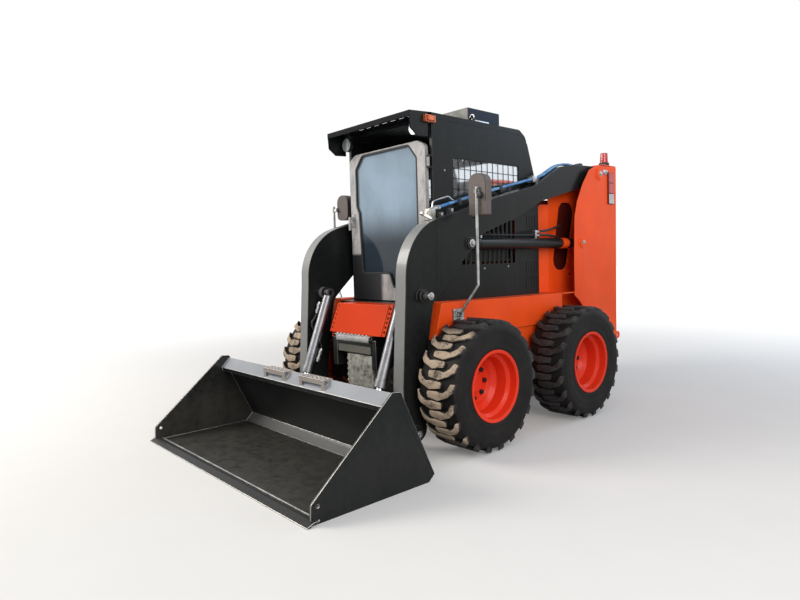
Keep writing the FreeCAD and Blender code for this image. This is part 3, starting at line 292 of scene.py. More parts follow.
def weathered_box_finish():
    """Sheet box with pale stains at its front and clean dark paint on its sides."""
    finish = Finish("roof unit paint", specular_ior_level=0.15)
    stains = finish.noise(11.0, 6.0, 0.7)
    facing = finish.node("ShaderNodeSeparateXYZ", {}, {0: finish.node("ShaderNodeNewGeometry", {}, {}, "Normal")}, "Y")
    front = finish.fade(facing, -0.5, -0.9)
    pale = finish.blend(finish.fade(stains, 0.35, 0.65), (0.20, 0.20, 0.19), (0.36, 0.355, 0.335))
    finish.set("Base Color", finish.blend(front, (0.010, 0.018, 0.034), pale))
    finish.set("Roughness", 0.34 + front * 0.3 + stains * 0.1)
    finish.bump(finish.noise(300.0, 2.0), 0.06, 0.001)
    return finish.material


def lens_finish(name, colour, dark):
    """Moulded lamp lens with fine upright flutes."""
    finish = Finish(name, roughness=0.16, coat_weight=0.6, ior=1.5)
    flutes = finish.noise(60.0, 1.0, 0.4, stretch=(1.0, 1.0, 0.05))
    finish.set("Base Color", finish.blend(finish.fade(flutes, 0.35, 0.65), dark, colour))
    finish.bump(flutes, 0.3, 0.002)
    return finish.material


orange = (0.92, 0.085, 0.010)
red = (0.78, 0.033, 0.009)
grey = (0.0085, 0.0105, 0.0105)
orange_paint = paint("orange paint", orange, (0.66, 0.20, 0.08), 0.32, 0.9, 0.10)
# Lighter orange on rounded edges: wear and dust, and painted highlight
worn_orange_with_painted_highlight = paint("orange paint on edges", (0.95, 0.14, 0.03), (0.7, 0.3, 0.15), 0.34, 0.9, 0.2)
shaded_orange = paint("orange paint in shade", (0.075, 0.006, 0.003), (0.04, 0.02, 0.01), 0.6, 0.9, 0.3, 0.0)
rim_paint = paint("rim paint", red, (0.42, 0.10, 0.05), 0.28, 0.7, 0.10, 0.12)
# Lighter rim paint on rounded edges: wear and dust, and painted highlight
worn_rim_with_painted_highlight = paint("rim paint on edges", (0.80, 0.045, 0.015), (0.5, 0.2, 0.1), 0.32, 0.7, 0.2)
dark_paint = paint("dark grey paint", grey, (0.055, 0.050, 0.042), 0.26, 0.9, 0.2)
# Lighter dark paint on rounded edges: wear and dust, and painted highlight
worn_dark_with_painted_highlight = paint("dark paint on edges", (0.05, 0.052, 0.05), (0.16, 0.145, 0.12), 0.32, 0.9, 0.35)
shaded_dark = paint("dark paint in shade", (0.006, 0.007, 0.009), (0.02, 0.018, 0.015), 0.5, 0.9, 0.2, 0.0, 0.06)
# Pale grey copy of the dark paint for the arms' front edges: painted highlight
dark_paint_painted_highlight = paint("dark paint with painted highlight", (0.21, 0.215, 0.215), (0.26, 0.25, 0.24), 0.36, 1.6, 0.3, 0.3, 0.5)
bucket_paint = paint("bucket paint", (0.0085, 0.0115, 0.012), (0.05, 0.046, 0.04), 0.24, 0.5, 0.22)
bucket_inside = paint("bucket paint inside", (0.018, 0.0185, 0.018), (0.085, 0.078, 0.066), 0.22, 0.4, 0.4, 0.3)
bucket_bend = paint("bucket bend", (0.10, 0.105, 0.11), (0.16, 0.15, 0.14), 0.3, 0.4, 0.4, 0.3)
# Pale blue-grey on the dark-painted top flange: painted sky reflection, with dust
flange_painted_sky_reflection = paint("bucket flange with painted sky reflection", (0.27, 0.29, 0.325), (0.36, 0.34, 0.31), 0.34, 0.6, 0.3)
step_paint = paint("step paint", (0.30, 0.27, 0.25), (0.42, 0.34, 0.27), 0.42, 0.6, 0.5)
# Body orange made darker and less glossy for the front plate: painted shade
front_plate_painted_shade = paint("front plate orange with painted shade", (0.60, 0.042, 0.004), (0.6, 0.1, 0.02), 0.36, 0.9, 0.05, 0.0, 0.05)
khaki_paint = paint("step riser paint", (0.125, 0.125, 0.105), (0.18, 0.17, 0.14), 0.4, 0.9, 0.3)
edge_steel = metal("worn steel", (0.62, 0.61, 0.59), 0.34, 120.0, (0.1, 1.0, 1.0))
plated_steel = metal("plated steel", (0.62, 0.62, 0.62), 0.26, 160.0)
galvanised = metal("galvanised steel", (0.52, 0.53, 0.515), 0.40, 40.0, dull=0.4)
chrome = metal("chromed rod", (0.75, 0.75, 0.77), 0.06, 60.0, dull=0.08)
silver_paint = metal("silver barrel", (0.23, 0.23, 0.245), 0.24, 200.0, dull=0.25)
silver_with_painted_glints = painted_glint_finish()
engine_iron = metal("engine iron", (0.10, 0.10, 0.11), 0.5, 60.0)
black_plastic = moulded("black plastic", (0.012, 0.012, 0.0125), 0.42)
hose_rubber = moulded("hose rubber", (0.010, 0.010, 0.0105), 0.46, 500.0)
mirror_plastic = moulded("mirror plastic", (0.115, 0.092, 0.083), 0.5)
mirror_glass = metal("mirror glass", (0.80, 0.82, 0.84), 0.02, 20.0, dull=0.05)
seat_vinyl = moulded("seat vinyl", (0.016, 0.016, 0.0165), 0.5, 480.0, 0.35)
seal_rubber = moulded("window seal", (0.012, 0.012, 0.012), 0.55, 300.0)
door_film = door_film_finish()
# Door and side glass: paler at the top as painted sky reflection
door_pane = glass_with_painted_sky("door glass", (0.36, 0.48, 0.60), (0.030, 0.045, 0.062), 1.30, 1.56, 0.30)
side_pane = glass_with_painted_sky("side glass", (0.80, 0.86, 0.92), (0.70, 0.76, 0.82), 1.5, 1.95, 0.97)
hose_wrap = wrapped_finish()
unit_paint = weathered_box_finish()
rubber = rubber_finish()
red_lens = lens_finish("red lens", (0.62, 0.010, 0.016), (0.30, 0.006, 0.008))
amber_lens = lens_finish("amber lens", (0.80, 0.16, 0.02), (0.45, 0.07, 0.01))
clear_lens = lens_finish("lamp lens", (0.62, 0.64, 0.66), (0.25, 0.26, 0.28))


# Shaping

def spot(x, y, z):
    """A place given by its distance behind the front axle, as a point in the frame."""
    return Vector((x, y + front_axle, z))


def add_piece(work, name, body, finishes, smooth=math.radians(32)):
    """Turns a worked mesh into a piece that rides on a body."""
    mesh = bpy.data.meshes.new(name)
    work.to_mesh(mesh)
    work.free()
    for material in finishes:
        mesh.materials.append(material)
    mesh.shade_smooth()
    mesh.set_sharp_from_angle(angle=smooth)
    piece = bpy.data.objects.new(name, mesh)
    bpy.context.scene.collection.objects.link(piece)
    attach(piece, body)
    return piece


def clean_copy(node):
    """The node's mesh with its triangles joined to whole faces."""
    work = bmesh.new()
    work.from_mesh(nodes[node].data)
    bmesh.ops.remove_doubles(work, verts=work.verts, dist=2e-5)
    bmesh.ops.dissolve_limit(work, angle_limit=math.radians(0.5), verts=work.verts, edges=work.edges)
    return work


def rounded(node, finishes, radius, pick=None, segments=2, sharp=28, narrow=1.0):
    """Copy of a rigid node with whole faces and rounded edges, in place of the node.

    The second finish goes on the rounded edges. pick(middle, normal) may choose another for a face.
    narrow squeezes the copy along Y about its own middle.
    """
    work = clean_copy(node)
    middle = sum(corner[1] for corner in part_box(node)) / 2
    for vert in work.verts:
        vert.co.y = middle + (vert.co.y - middle) * narrow
    for face in work.faces:
        face.material_index = pick(face.calc_center_median(), face.normal) if pick else 0
    piece = add_piece(work, node + "_dressed", body_of[node], finishes)
    bevel = piece.modifiers.new("edges", "BEVEL")
    bevel.width = radius
    bevel.segments = segments
    bevel.limit_method = "ANGLE"
    bevel.angle_limit = math.radians(sharp)
    bevel.use_clamp_overlap = False
    bevel.harden_normals = True
    bevel.material = 1
    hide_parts(node)
    return piece


def cover(piece, *finishes):
    piece.data.materials.clear()
    for finish in finishes:
        piece.data.materials.append(finish)


def facing(place, way):
    """Turn and shift that lays Z along way, at place."""
    return Matrix.Translation(place) @ Vector(way).to_track_quat("Z", "Y").to_matrix().to_4x4()


def add_disc(work, place, way, radius, height, sides=24, top=None):
    """A round or many-sided boss with a chamfered top, standing on a surface."""
    top = radius if top is None else top
    made = bmesh.ops.create_cone(work, cap_ends=True, segments=sides, radius1=radius, radius2=top, depth=height,
                                 matrix=facing(place, way) @ Matrix.Translation((0, 0, height / 2)))
    out = Vector(way).normalized()
    rim = [edge for edge in {edge for vert in made["verts"] for edge in vert.link_edges}
           if all((vert.co - Vector(place)).dot(out) > height * 0.9 for vert in edge.verts)]
    bmesh.ops.bevel(work, geom=rim, offset=min(height, radius) * 0.16, segments=2, profile=0.5,
                    affect="EDGES", material=-1)


def add_bolt(work, place, way, size):
    """Washer and hexagon head, size across its corners."""
    out = Vector(way).normalized()
    add_disc(work, place, way, size * 0.78, size * 0.14)
    add_disc(work, Vector(place) + out * size * 0.14, way, size * 0.5, size * 0.36, 6)


def add_box(work, low, high, radius):
    """A block with rounded edges between two corners."""
    size = Vector(high) - Vector(low)
    middle = (Vector(high) + Vector(low)) / 2
    made = bmesh.ops.create_cube(work, size=1.0, matrix=Matrix.Translation(middle) @ Matrix.Diagonal((*size, 1)))
    edges = list({edge for vert in made["verts"] for edge in vert.link_edges})
    bmesh.ops.bevel(work, geom=edges, offset=radius, segments=2, profile=0.5, affect="EDGES", material=-1)


def pipe(name, body, points, radius, finish):
    """Bent pipe or hose: one smooth line through control points, with a round section."""
    curve = bpy.data.curves.new(name, "CURVE")
    curve.dimensions = "3D"
    curve.bevel_depth = radius
    curve.bevel_resolution = 4
    curve.resolution_u = 10
    curve.use_fill_caps = True
    line = curve.splines.new("NURBS")
    line.points.add(len(points) - 1)
    for control, point in zip(line.points, points):
        control.co = (*point, 1.0)
    line.order_u = 3
    line.use_endpoint_u = True
    curve.materials.append(finish)
    piece = bpy.data.objects.new(name, curve)
    bpy.context.scene.collection.objects.link(piece)
    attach(piece, body)
    return piece


def run_length(piece):
    """Length of a pipe's own smooth line."""
    bare = piece.data.copy()
    bare.bevel_depth = 0.0
    holder = bpy.data.objects.new("measured line", bare)
    mesh = bpy.data.meshes.new_from_object(holder)
    places = [vert.co.copy() for vert in mesh.vertices]
    bpy.data.objects.remove(holder)
    return sum((on - here).length for here, on in zip(places, places[1:]))


# Tyres

# A lug's outline: metres across from the middle of the tread, and along it
lug_outline = [(-0.052, 0.016), (-0.057, 0.000), (-0.050, -0.024), (0.034, -0.038), (0.114, -0.006), (0.141, 0.022),
               (0.150, 0.078), (0.137, 0.080), (0.114, 0.042), (0.072, 0.014), (0.024, 0.021)]
lugs_a_side = 21
shoulder_across = 0.126

# The carcass: metres across from the middle, and from the wheel's axis
carcass = [(0.1335, 0.2105), (0.1335, 0.2250), (0.139, 0.236), (0.141, 0.246), (0.139, 0.254), (0.1465, 0.285),
           (0.149, 0.315), (0.1480, 0.322), (0.1492, 0.327), (0.1490, 0.345), (0.146, 0.364), (0.136, 0.380),
           (0.118, 0.3865), (0.06, 0.3885), (0.0, 0.389)]


def flat_lug(tread_height):
    """One lug laid flat, with rounded top edges and cuts across it so that it can bend."""
    work = bmesh.new()
    corners = [work.verts.new((across, along, -0.012)) for across, along in lug_outline]
    base = work.faces.new(corners)
    raised = bmesh.ops.extrude_face_region(work, geom=[base])
    top = [item for item in raised["geom"] if isinstance(item, bmesh.types.BMVert)]
    bmesh.ops.translate(work, vec=(0, 0, tread_height + 0.012), verts=top)
    bmesh.ops.scale(work, vec=(0.95, 0.92, 1.0), verts=top)
    rim = [edge for edge in work.edges if all(vert in top for vert in edge.verts)]
    bmesh.ops.bevel(work, geom=rim, offset=0.0028, segments=2, profile=0.5, affect="EDGES", material=-1)
    for along in (-0.015, 0.004, 0.022, 0.042, 0.062):
        everything = work.verts[:] + work.edges[:] + work.faces[:]
        bmesh.ops.bisect_plane(work, geom=everything, plane_co=(0, along, 0), plane_no=(0, 1, 0))
    bmesh.ops.recalc_face_normals(work, faces=work.faces)
    mesh = bpy.data.meshes.new("flat lug")
    work.to_mesh(mesh)
    work.free()
    return mesh


def add_tyre(corner, lug):
    """Tyre with two staggered rows of lugs, marked so that its rubber knows where mud sits."""
    low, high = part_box("tyre_" + corner)
    radius = (high[2] - low[2]) / 2
    middle = Vector(((low[0] + high[0]) / 2, sum(c[1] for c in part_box("hub_" + corner)) / 2, radius))
    crown = carcass[-1][1]
    work = bmesh.new()
    tread = work.verts.layers.float.new("tread")
    for i in range(2 * lugs_a_side):
        side = sides[i % 2]
        first = len(work.verts)
        work.from_mesh(lug)
        work.verts.ensure_lookup_table()
        for vert in work.verts[first:]:
            across, along, height = vert.co
            over = max(0.0, across - shoulder_across)
            out = crown + height - over * 0.75 if height > 0 else crown + height - over * 2.2
            turn = math.pi * i / lugs_a_side + along / radius
            vert.co = (side * across, -out * math.cos(turn), out * math.sin(turn))
            vert[tread] = 1.0 if height > 0.012 else 0.0
    half = [work.verts.new((across, 0, out)) for across, out in carcass]
    other = [work.verts.new((-across, 0, out)) for across, out in carcass[-2::-1]]
    inside = [work.verts.new((across, 0, out)) for across, out in ((-0.12, 0.30), (0, 0.36), (0.12, 0.30))]
    ring = half + other + inside
    edges = [work.edges.new(pair) for pair in zip(ring, ring[1:] + ring[:1])]
    bmesh.ops.spin(work, geom=ring + edges, axis=(1, 0, 0), cent=(0, 0, 0), steps=96, angle=2 * math.pi,
                   use_merge=True, use_duplicate=False)
    bmesh.ops.remove_doubles(work, verts=[v for v in work.verts if not v[tread]], dist=1e-5)
    bmesh.ops.recalc_face_normals(work, faces=work.faces)
    bmesh.ops.translate(work, vec=middle, verts=work.verts)
    piece = add_piece(work, "tyre_" + corner + "_dressed", body_of["tyre_" + corner], [rubber])
    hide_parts("tyre_" + corner)


def dress_wheels():
    """Rims and hubs keep their forms and get rounded edges; tyres get their tread."""
    low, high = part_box("tyre_front_left")
    lug = flat_lug((high[2] - low[2]) / 2 - carcass[-1][1])
    for corner in ("front_left", "front_right", "rear_left", "rear_right"):
        rounded("rim_" + corner, [rim_paint, worn_rim_with_painted_highlight], 0.0012)
        rounded("hub_" + corner, [black_plastic, black_plastic, rim_paint], 0.0012, on_hub(corner))
        add_tyre(corner, lug)


# Choosing finishes by the place or the way of a face

def on_arms(middle, normal):
    """Pin ends are plated, and the curved front edges get pale grey paint as a painted highlight."""
    if abs(middle.x) > 0.6185:
        return 2
    front_edge = normal.y < -0.15 and abs(normal.x) < 0.3 and abs(middle.x) < 0.56
    return 3 if front_edge and middle.y < front_axle - 0.02 else 0


def on_roof(middle, normal):
    return 2 if normal.y < -0.5 else 0


def on_hood(middle, normal):
    return 2 if abs(normal.x) > 0.9 else 0


def on_chain_case(middle, normal):
    return 2 if abs(middle.x) < 0.40 or normal.y < -0.5 else 0


def on_bucket(middle, normal):
    """Steps are bare and pale, and the top flange of dark paint is coloured pale blue-grey as a painted reflection of
    the sky.
    """
    y = middle.y - front_axle
    inside = abs(normal.x) < 0.1 and normal.z > 0.02 and middle.z < 0.44 or abs(normal.x) > 0.9 and abs(middle.x) < 0.95
    if inside and not -0.895 < y < -0.812:
        return 5 if 0.3 < normal.z < 0.95 and middle.z < 0.2 else 4
    in_step = -0.895 < y < -0.812 and middle.z > 0.446 and (0.094 < middle.x < 0.353 or -0.338 < middle.x < -0.079)
    if in_step and not (normal.y < -0.6 and normal.z > 0.6):
        return 2
    return 3 if normal.y < -0.6 and normal.z > 0.6 and middle.z > 0.44 else 0


def pin_ends(reach):
    """Plated steel on what stands out further than reach."""
    return lambda middle, normal: 2 if abs(middle.x) > reach else 0


def on_mirror(middle, normal):
    head = middle.z > 1.52 and middle.y - front_axle > 0.0519
    return 0 if head else 2


def on_tail_lamp(middle, normal):
    return 2 if middle.z < 1.7 else 0


def on_work_lamp(middle, normal):
    return 0 if normal.y < -0.9 and middle.z < deck + 1.195 else 2


def on_step(middle, normal):
    if abs(middle.x) > 0.186:
        return 3
    return 0 if middle.z > deck - 0.213 else 2


def on_hub(corner):
    """Painted like the rim near the axis; the nuts further out stay black."""
    low, high = (Vector(place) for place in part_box("hub_" + corner))
    centre = (low + high) / 2
    painted_radius = 0.075

    def pick(middle, normal):
        return 2 if math.hypot(middle.y - centre.y, middle.z - centre.z) < painted_radius else 0

    return pick


# Rigid nodes: finishes, edge radius in metres, and how a face chooses its finish
rigid = {
    "lift_arms": ([dark_paint, worn_dark_with_painted_highlight, plated_steel, dark_paint_painted_highlight], 0.003, on_arms),
    "arm_cross_tube": ([dark_paint, worn_dark_with_painted_highlight], 0.002),
    "uprights": ([orange_paint, worn_orange_with_painted_highlight, plated_steel], 0.0025, pin_ends(0.6275)),
    "upright_inner_left": ([orange_paint, worn_orange_with_painted_highlight], 0.002),
    "upright_inner_right": ([orange_paint, worn_orange_with_painted_highlight], 0.002),
    "fenders": ([orange_paint, worn_orange_with_painted_highlight], 0.002),
    "chain_cases": ([orange_paint, dark_paint, dark_paint], 0.003, on_chain_case),
    "front_plate": ([front_plate_painted_shade, worn_orange_with_painted_highlight], 0.0015),
    "rear_bumper": ([dark_paint, worn_dark_with_painted_highlight], 0.004),
    "chassis_frame": ([dark_paint, worn_dark_with_painted_highlight], 0.002),
    "cab_sides": ([dark_paint, worn_dark_with_painted_highlight], 0.0015),
    "cab_roof": ([dark_paint, shaded_dark, shaded_dark], 0.0015, on_roof),
    "cab_rear": ([dark_paint, worn_dark_with_painted_highlight], 0.0015),
    "cab_floor": ([dark_paint, worn_dark_with_painted_highlight], 0.002),
    "side_panels": ([dark_paint, worn_dark_with_painted_highlight], 0.001),
    "engine_hood": ([orange_paint, worn_orange_with_painted_highlight, shaded_orange], 0.0015, on_hood),
    "rear_door": ([dark_paint, worn_dark_with_painted_highlight], 0.002),
    "window_guards": ([black_plastic, worn_dark_with_painted_highlight], 0.0008),
    "ac_unit": ([unit_paint, worn_dark_with_painted_highlight], 0.004),
    "bucket": ([bucket_paint, edge_steel, step_paint, flange_painted_sky_reflection, bucket_inside, bucket_bend], 0.0015, on_bucket),
    "cutting_edge": ([bucket_paint, edge_steel], 0.002),
    "coupler": ([dark_paint, worn_dark_with_painted_highlight], 0.002),
    "front_step": ([plated_steel, plated_steel, khaki_paint, dark_paint], 0.001, on_step),
    "front_hydraulics": ([silver_with_painted_glints, silver_with_painted_glints], 0.0015),
    "lift_barrels": ([dark_paint, worn_dark_with_painted_highlight], 0.0015),
    "tilt_barrels": ([silver_paint, silver_paint], 0.0015),
    "lift_rods": ([chrome, chrome], 0.001),
    "tilt_rods": ([chrome, chrome], 0.001),
    "door_frame": ([door_film, worn_dark_with_painted_highlight], 0.0015),
    "engine_block": ([engine_iron, engine_iron], 0.006),
    "seat_base": ([black_plastic, black_plastic], 0.004),
    "control_levers": ([black_plastic, black_plastic], 0.002),
    "beacon": ([red_lens, black_plastic], 0.002),
    "tail_lamps": ([red_lens, black_plastic, plated_steel], 0.0015, on_tail_lamp, 2, 28, 0.6),
    "marker_lamps": ([amber_lens, black_plastic], 0.002),
    "work_lamps": ([clear_lens, black_plastic, black_plastic], 0.002, on_work_lamp),
    "mirrors": ([mirror_plastic, black_plastic, galvanised], 0.003, on_mirror),
}


# Fittings

# Hoses of the left cylinders: places across, behind the front axle, and up
lift_hose_routes = (
    ((0.530, 1.020, 1.385), (0.530, 1.060, 1.387), (0.525, 1.150, 1.395), (0.505, 1.290, 1.425), (0.480, 1.370, 1.432)),
    ((0.530, 1.020, 1.357), (0.530, 1.070, 1.358), (0.520, 1.180, 1.352), (0.495, 1.300, 1.345)),
)
tilt_fittings = (((0.450, -0.345, 0.905), (0.450, -0.374, 0.824)), ((0.360, -0.404, 0.575), (0.360, -0.445, 0.485)))
tilt_hose_routes = (
    ((0.450, -0.374, 0.826), (0.450, -0.385, 0.795), (0.450, -0.425, 0.760), (0.445, -0.405, 0.690), (0.425, -0.380, 0.675)),
    ((0.375, -0.380, 0.690), (0.362, -0.425, 0.640), (0.360, -0.400, 0.600), (0.360, -0.404, 0.572)),
)

arm_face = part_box("arm_cross_tube")[1][0] + 0.0943


def add_fasteners():
    """Bolts, lock plates and plugs, one piece a body."""
    plan = {
        "chassis": [((0.6315, 1.742, 1.857), 0.020), ((0.6315, 1.475, 1.295), 0.022), ((0.622, 1.812, 1.872), 0.018),
                    ((0.622, 1.846, 1.882), 0.018), ((0.4403, 0.472, 1.120), 0.009), ((0.4403, 0.743, 1.126), 0.009),
                    ((0.4403, 0.08, 1.78), 0.008), ((0.4403, 0.26, 1.86), 0.008), ((0.4403, 0.62, 1.86), 0.008),
                    ((0.606, -0.030, 0.862), 0.016),
                    ((0.606, 0.045, 0.862), 0.016), ((0.606, -0.030, 0.800), 0.016), ((0.606, 0.045, 0.800), 0.016)],
        "arms": [((0.6545, -0.290, 0.972), 0.030), ((0.588, 0.171, 1.293), 0.034)],
        "tool": [((0.592, -0.355, 0.125), 0.030)],
    }
    for body, bolts in plan.items():
        work = bmesh.new()
        for (x, y, z), size in bolts:
            for side in sides:
                add_bolt(work, spot(side * x, y, z), (side, 0, 0), size)
        if body == "chassis":
            for side in sides:
                low, high = spot(side * 0.615, 1.795, 1.858), spot(side * 0.622, 1.862, 1.896)
                add_box(work, low, high, 0.002)
        add_piece(work, body + "_fasteners", body, [plated_steel])


def add_weld_bead():
    """Joint between the arm's two plates, as a low bead down its outer face."""
    work = bmesh.new()
    beads = 44
    for side in sides:
        for i in range(beads):
            share = i / (beads - 1)
            place = spot(side * 0.570, -0.123 - 0.016 * share, 1.433 - 0.439 * share)
            bmesh.ops.create_uvsphere(work, u_segments=8, v_segments=6, radius=1.0,
                                      matrix=Matrix.Translation(place) @ Matrix.Diagonal((0.0022, 0.005, 0.0072, 1)))
    add_piece(work, "arm_weld_beads", "arms", [dark_paint], math.radians(80))


# Lines of the left arm: places across, and (distance behind the axle, height) on the way
hose_xs = (0.497, 0.521)
hose_radius = 0.009
hose_run = [(-0.070, 1.524), (0.300, 1.626), (0.930, 1.768), (1.080, 1.808), (1.160, 1.850), (1.270, 1.902),
            (1.400, 1.923), (1.500, 1.918), (1.600, 1.908)]
clamp_places = ((0.120, 1.576), (0.560, 1.684), (0.960, 1.781))


def add_arm_lines():
    """Two wrapped hoses on the left arm, with their couplers, clamps and a steel pipe."""
    for number, x in enumerate(hose_xs):
        hose = pipe("arm_hose_%d" % (number + 1), "arms", [spot(x, y, z) for y, z in hose_run], hose_radius, hose_wrap)
        if number == 0:
            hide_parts("arm_lines")
        spot(x, *hose_run[0])
        run_length(hose)
    steel = bmesh.new()
    valve = bmesh.new()
    for x in hose_xs:
        start, end = spot(x, -0.150, 1.500), spot(x, -0.060, 1.527)
        way = end - start
        add_disc(steel, start, way, 0.017, 0.030, 6)
        add_disc(steel, start + way * 0.32, way, 0.014, 0.034)
        add_disc(steel, start + way * 0.68, way, 0.0165, 0.026, 6)
    low, high = min(hose_xs) - 0.015, max(hose_xs) + 0.015
    add_box(valve, spot(low, -0.170, 1.440), spot(high, -0.110, 1.512), 0.004)
    add_piece(valve, "arm_valve_block", "arms", [silver_with_painted_glints])
    for x, y, z in ((low - 0.012, -0.130, 1.470), (high - 0.004, -0.150, 1.450)):
        add_disc(steel, spot(x, y, z), (-0.2, -0.5, 0.3), 0.012, 0.05, 6)
    clamps = bmesh.new()
    for y, z in clamp_places[:-1]:
        add_box(clamps, spot(low, y - 0.016, z - 0.030), spot(high, y + 0.016, z + hose_radius + 0.006), 0.003)
    y, z = clamp_places[-1]
    add_box(steel, spot(low, y - 0.024, z - 0.034), spot(high, y + 0.024, z + hose_radius + 0.007), 0.003)
    for y, z in ((-0.090, 1.478), (0.003, 1.506)):
        add_box(clamps, spot(high, y - 0.018, z - 0.045), spot(0.5695, y + 0.018, z + 0.014), 0.003)
        add_bolt(steel, spot(0.5695, y, z), (1, 0, 0), 0.014)
    add_piece(steel, "arm_couplers", "arms", [plated_steel])
    add_box(clamps, spot(low, 1.585, 1.9), spot(high, 1.625, 1.943), 0.004)
    add_piece(clamps, "arm_line_clamps", "arms", [black_plastic])
    bent = [(-0.120, 1.512), (-0.110, 1.556), (-0.098, 1.566), (0.020, 1.598), (0.040, 1.600), (0.072, 1.580), (0.090, 1.574)]
    pipe("arm_steel_pipe", "arms", [spot(0.509, y, z) for y, z in bent], 0.005, plated_steel)


def add_cylinder_lines():
    """Pipes, fittings and hoses on the lift and tilt cylinders."""
    lift_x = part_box("lift_barrels")[1][0] - 0.045
    lift_height = sum(corner[2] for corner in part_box("lift_barrels")) / 2
    for side in sides:
        name = "left" if side > 0 else "right"
        x = side * lift_x
        line = [(0.330, 1.318), (0.330, 1.350), (0.352, 1.352), (0.700, 1.352), (0.900, 1.352), (0.955, 1.357)]
        pipe("lift_pipe_" + name, "lift_barrel_pair", [spot(x, y, z) for y, z in line], 0.006, dark_paint)
        work = bmesh.new()
        add_disc(work, spot(x, 0.330, 1.320), (0, 0, 1), 0.014, 0.030, 6)
        add_box(work, spot(x - 0.016, 0.950, 1.330), spot(x + 0.016, 0.972, 1.392), 0.003)
        for height in (1.352, 1.380):
            add_disc(work, spot(x, 0.965, height), (0, 1, 0.05), 0.011, 0.060, 6)
        add_piece(work, "lift_fittings_" + name, "lift_barrel_pair", [plated_steel])
        work = bmesh.new()
        add_disc(work, spot(side * (lift_x + 0.005), 1.292, lift_height), (0, 1, 0), 0.0415, 0.085, 40)
        add_piece(work, "lift_collar_" + name, "lift_barrel_pair", [orange_paint])
        for number, route in enumerate(lift_hose_routes):
            points = [spot(side * across, y, z) for across, y, z in route]
            pipe("lift_hose_%s_%d" % (name, number + 1), "lift_barrel_pair", points, 0.009, hose_rubber)
        work = bmesh.new()
        for start, end in tilt_fittings:
            place, tip = spot(side * start[0], *start[1:]), spot(side * end[0], *end[1:])
            way = tip - place
            add_disc(work, place, way, 0.0115, way.length)
            add_disc(work, place + way * 0.18, way, 0.0150, way.length * 0.22, 6)
            add_disc(work, place + way * 0.68, way, 0.0150, way.length * 0.16, 6)
        add_piece(work, "tilt_fittings_" + name, "tilt_barrel_pair", [plated_steel])
        for number, route in enumerate(tilt_hose_routes):
            points = [spot(side * across, y, z) for across, y, z in route]
            pipe("tilt_hose_%s_%d" % (name, number + 1), "tilt_barrel_pair", points, 0.008, hose_rubber)


def add_front_details():
    """Toothed nosing of the front step and the bright seam behind the bucket's edge."""
    work = bmesh.new()
    low, high = -0.170, 0.185
    add_box(work, spot(low, -0.4085, 0.658), spot(high, -0.4045, 0.7005), 0.001)
    teeth = 9
    pitch = (high - low) / teeth
    for i in range(teeth):
        start = low + pitch * (i + 0.2)
        add_box(work, spot(start, -0.4085, 0.695), spot(start + pitch * 0.55, -0.4045, 0.710), 0.001)
    add_piece(work, "step_nosing", "chassis", [plated_steel])
    work = bmesh.new()
    # Black strip under the nosing: the nosing's painted shadow on the riser
    add_box(work, spot(low, -0.3895, 0.632), spot(high, -0.3865, 0.672), 0.001)
    add_piece(work, "step_painted_shadow", "chassis", [black_plastic])
    work = bmesh.new()
    low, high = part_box("cutting_edge")
    y, top = front_axle - 1.357, 0.018
    add_box(work, (low[0] + 0.01, y - 0.005, top - 0.008), (high[0] - 0.01, y + 0.005, top + 0.003), 0.0015)
    add_piece(work, "edge_seam", "tool", [edge_steel])


def add_roof_details():
    """Lifting rings through the roof's eyes, and the bright strip at the foot of the roof unit."""
    ring_radius, turns = 0.017, 16
    low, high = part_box("ac_unit")
    eye_height = low[2] + 0.020
    for side in sides:
        points = []
        for i in range(turns + 1):
            turn = math.radians(-178 + 356 * i / turns)
            points.append(spot(side * 0.395 + ring_radius * math.sin(turn), 0.421,
                               eye_height + ring_radius * (1 + math.cos(turn))))
        pipe("lifting_ring_" + ("left" if side > 0 else "right"), "chassis", points, 0.0042, plated_steel)
    work = bmesh.new()
    for start, end, foot, head in ((0.045, 0.230, 0.032, 0.054), (0.315, 0.340, 0.020, 0.044)):
        lower = (high[0] - 0.001, low[1] + start, low[2] + foot)
        add_box(work, lower, (high[0] + 0.004, low[1] + end, low[2] + head), 0.001)
    add_piece(work, "roof_unit_strips", "chassis", [plated_steel])


# The door's front face, behind the front axle
door_front = -0.066


def add_door_seal():
    """Rubber seal that runs round the door's glass."""
    work = clean_copy("door_glass")
    front = min(work.faces, key=lambda face: face.normal.y * face.calc_area())
    others = [face for face in work.faces if face is not front]
    bmesh.ops.delete(work, geom=others, context="FACES")
    bmesh.ops.translate(work, vec=(0, -0.0015, 0), verts=work.verts)
    ring = bmesh.ops.inset_region(work, faces=work.faces[:], thickness=0.012, use_boundary=True,
                                  use_even_offset=True)["faces"]
    middle = [face for face in work.faces if face not in ring]
    bmesh.ops.delete(work, geom=middle, context="FACES")
    raised = bmesh.ops.extrude_face_region(work, geom=work.faces[:])
    top = [item for item in raised["geom"] if isinstance(item, bmesh.types.BMVert)]
    for vert in top:
        vert.co.y = front_axle + door_front - 0.0015
    bmesh.ops.recalc_face_normals(work, faces=work.faces)
    seal = add_piece(work, "door_seal", "cab_door", [seal_rubber])
    bevel = seal.modifiers.new("edges", "BEVEL")
    bevel.width = 0.0016
    bevel.segments = 2


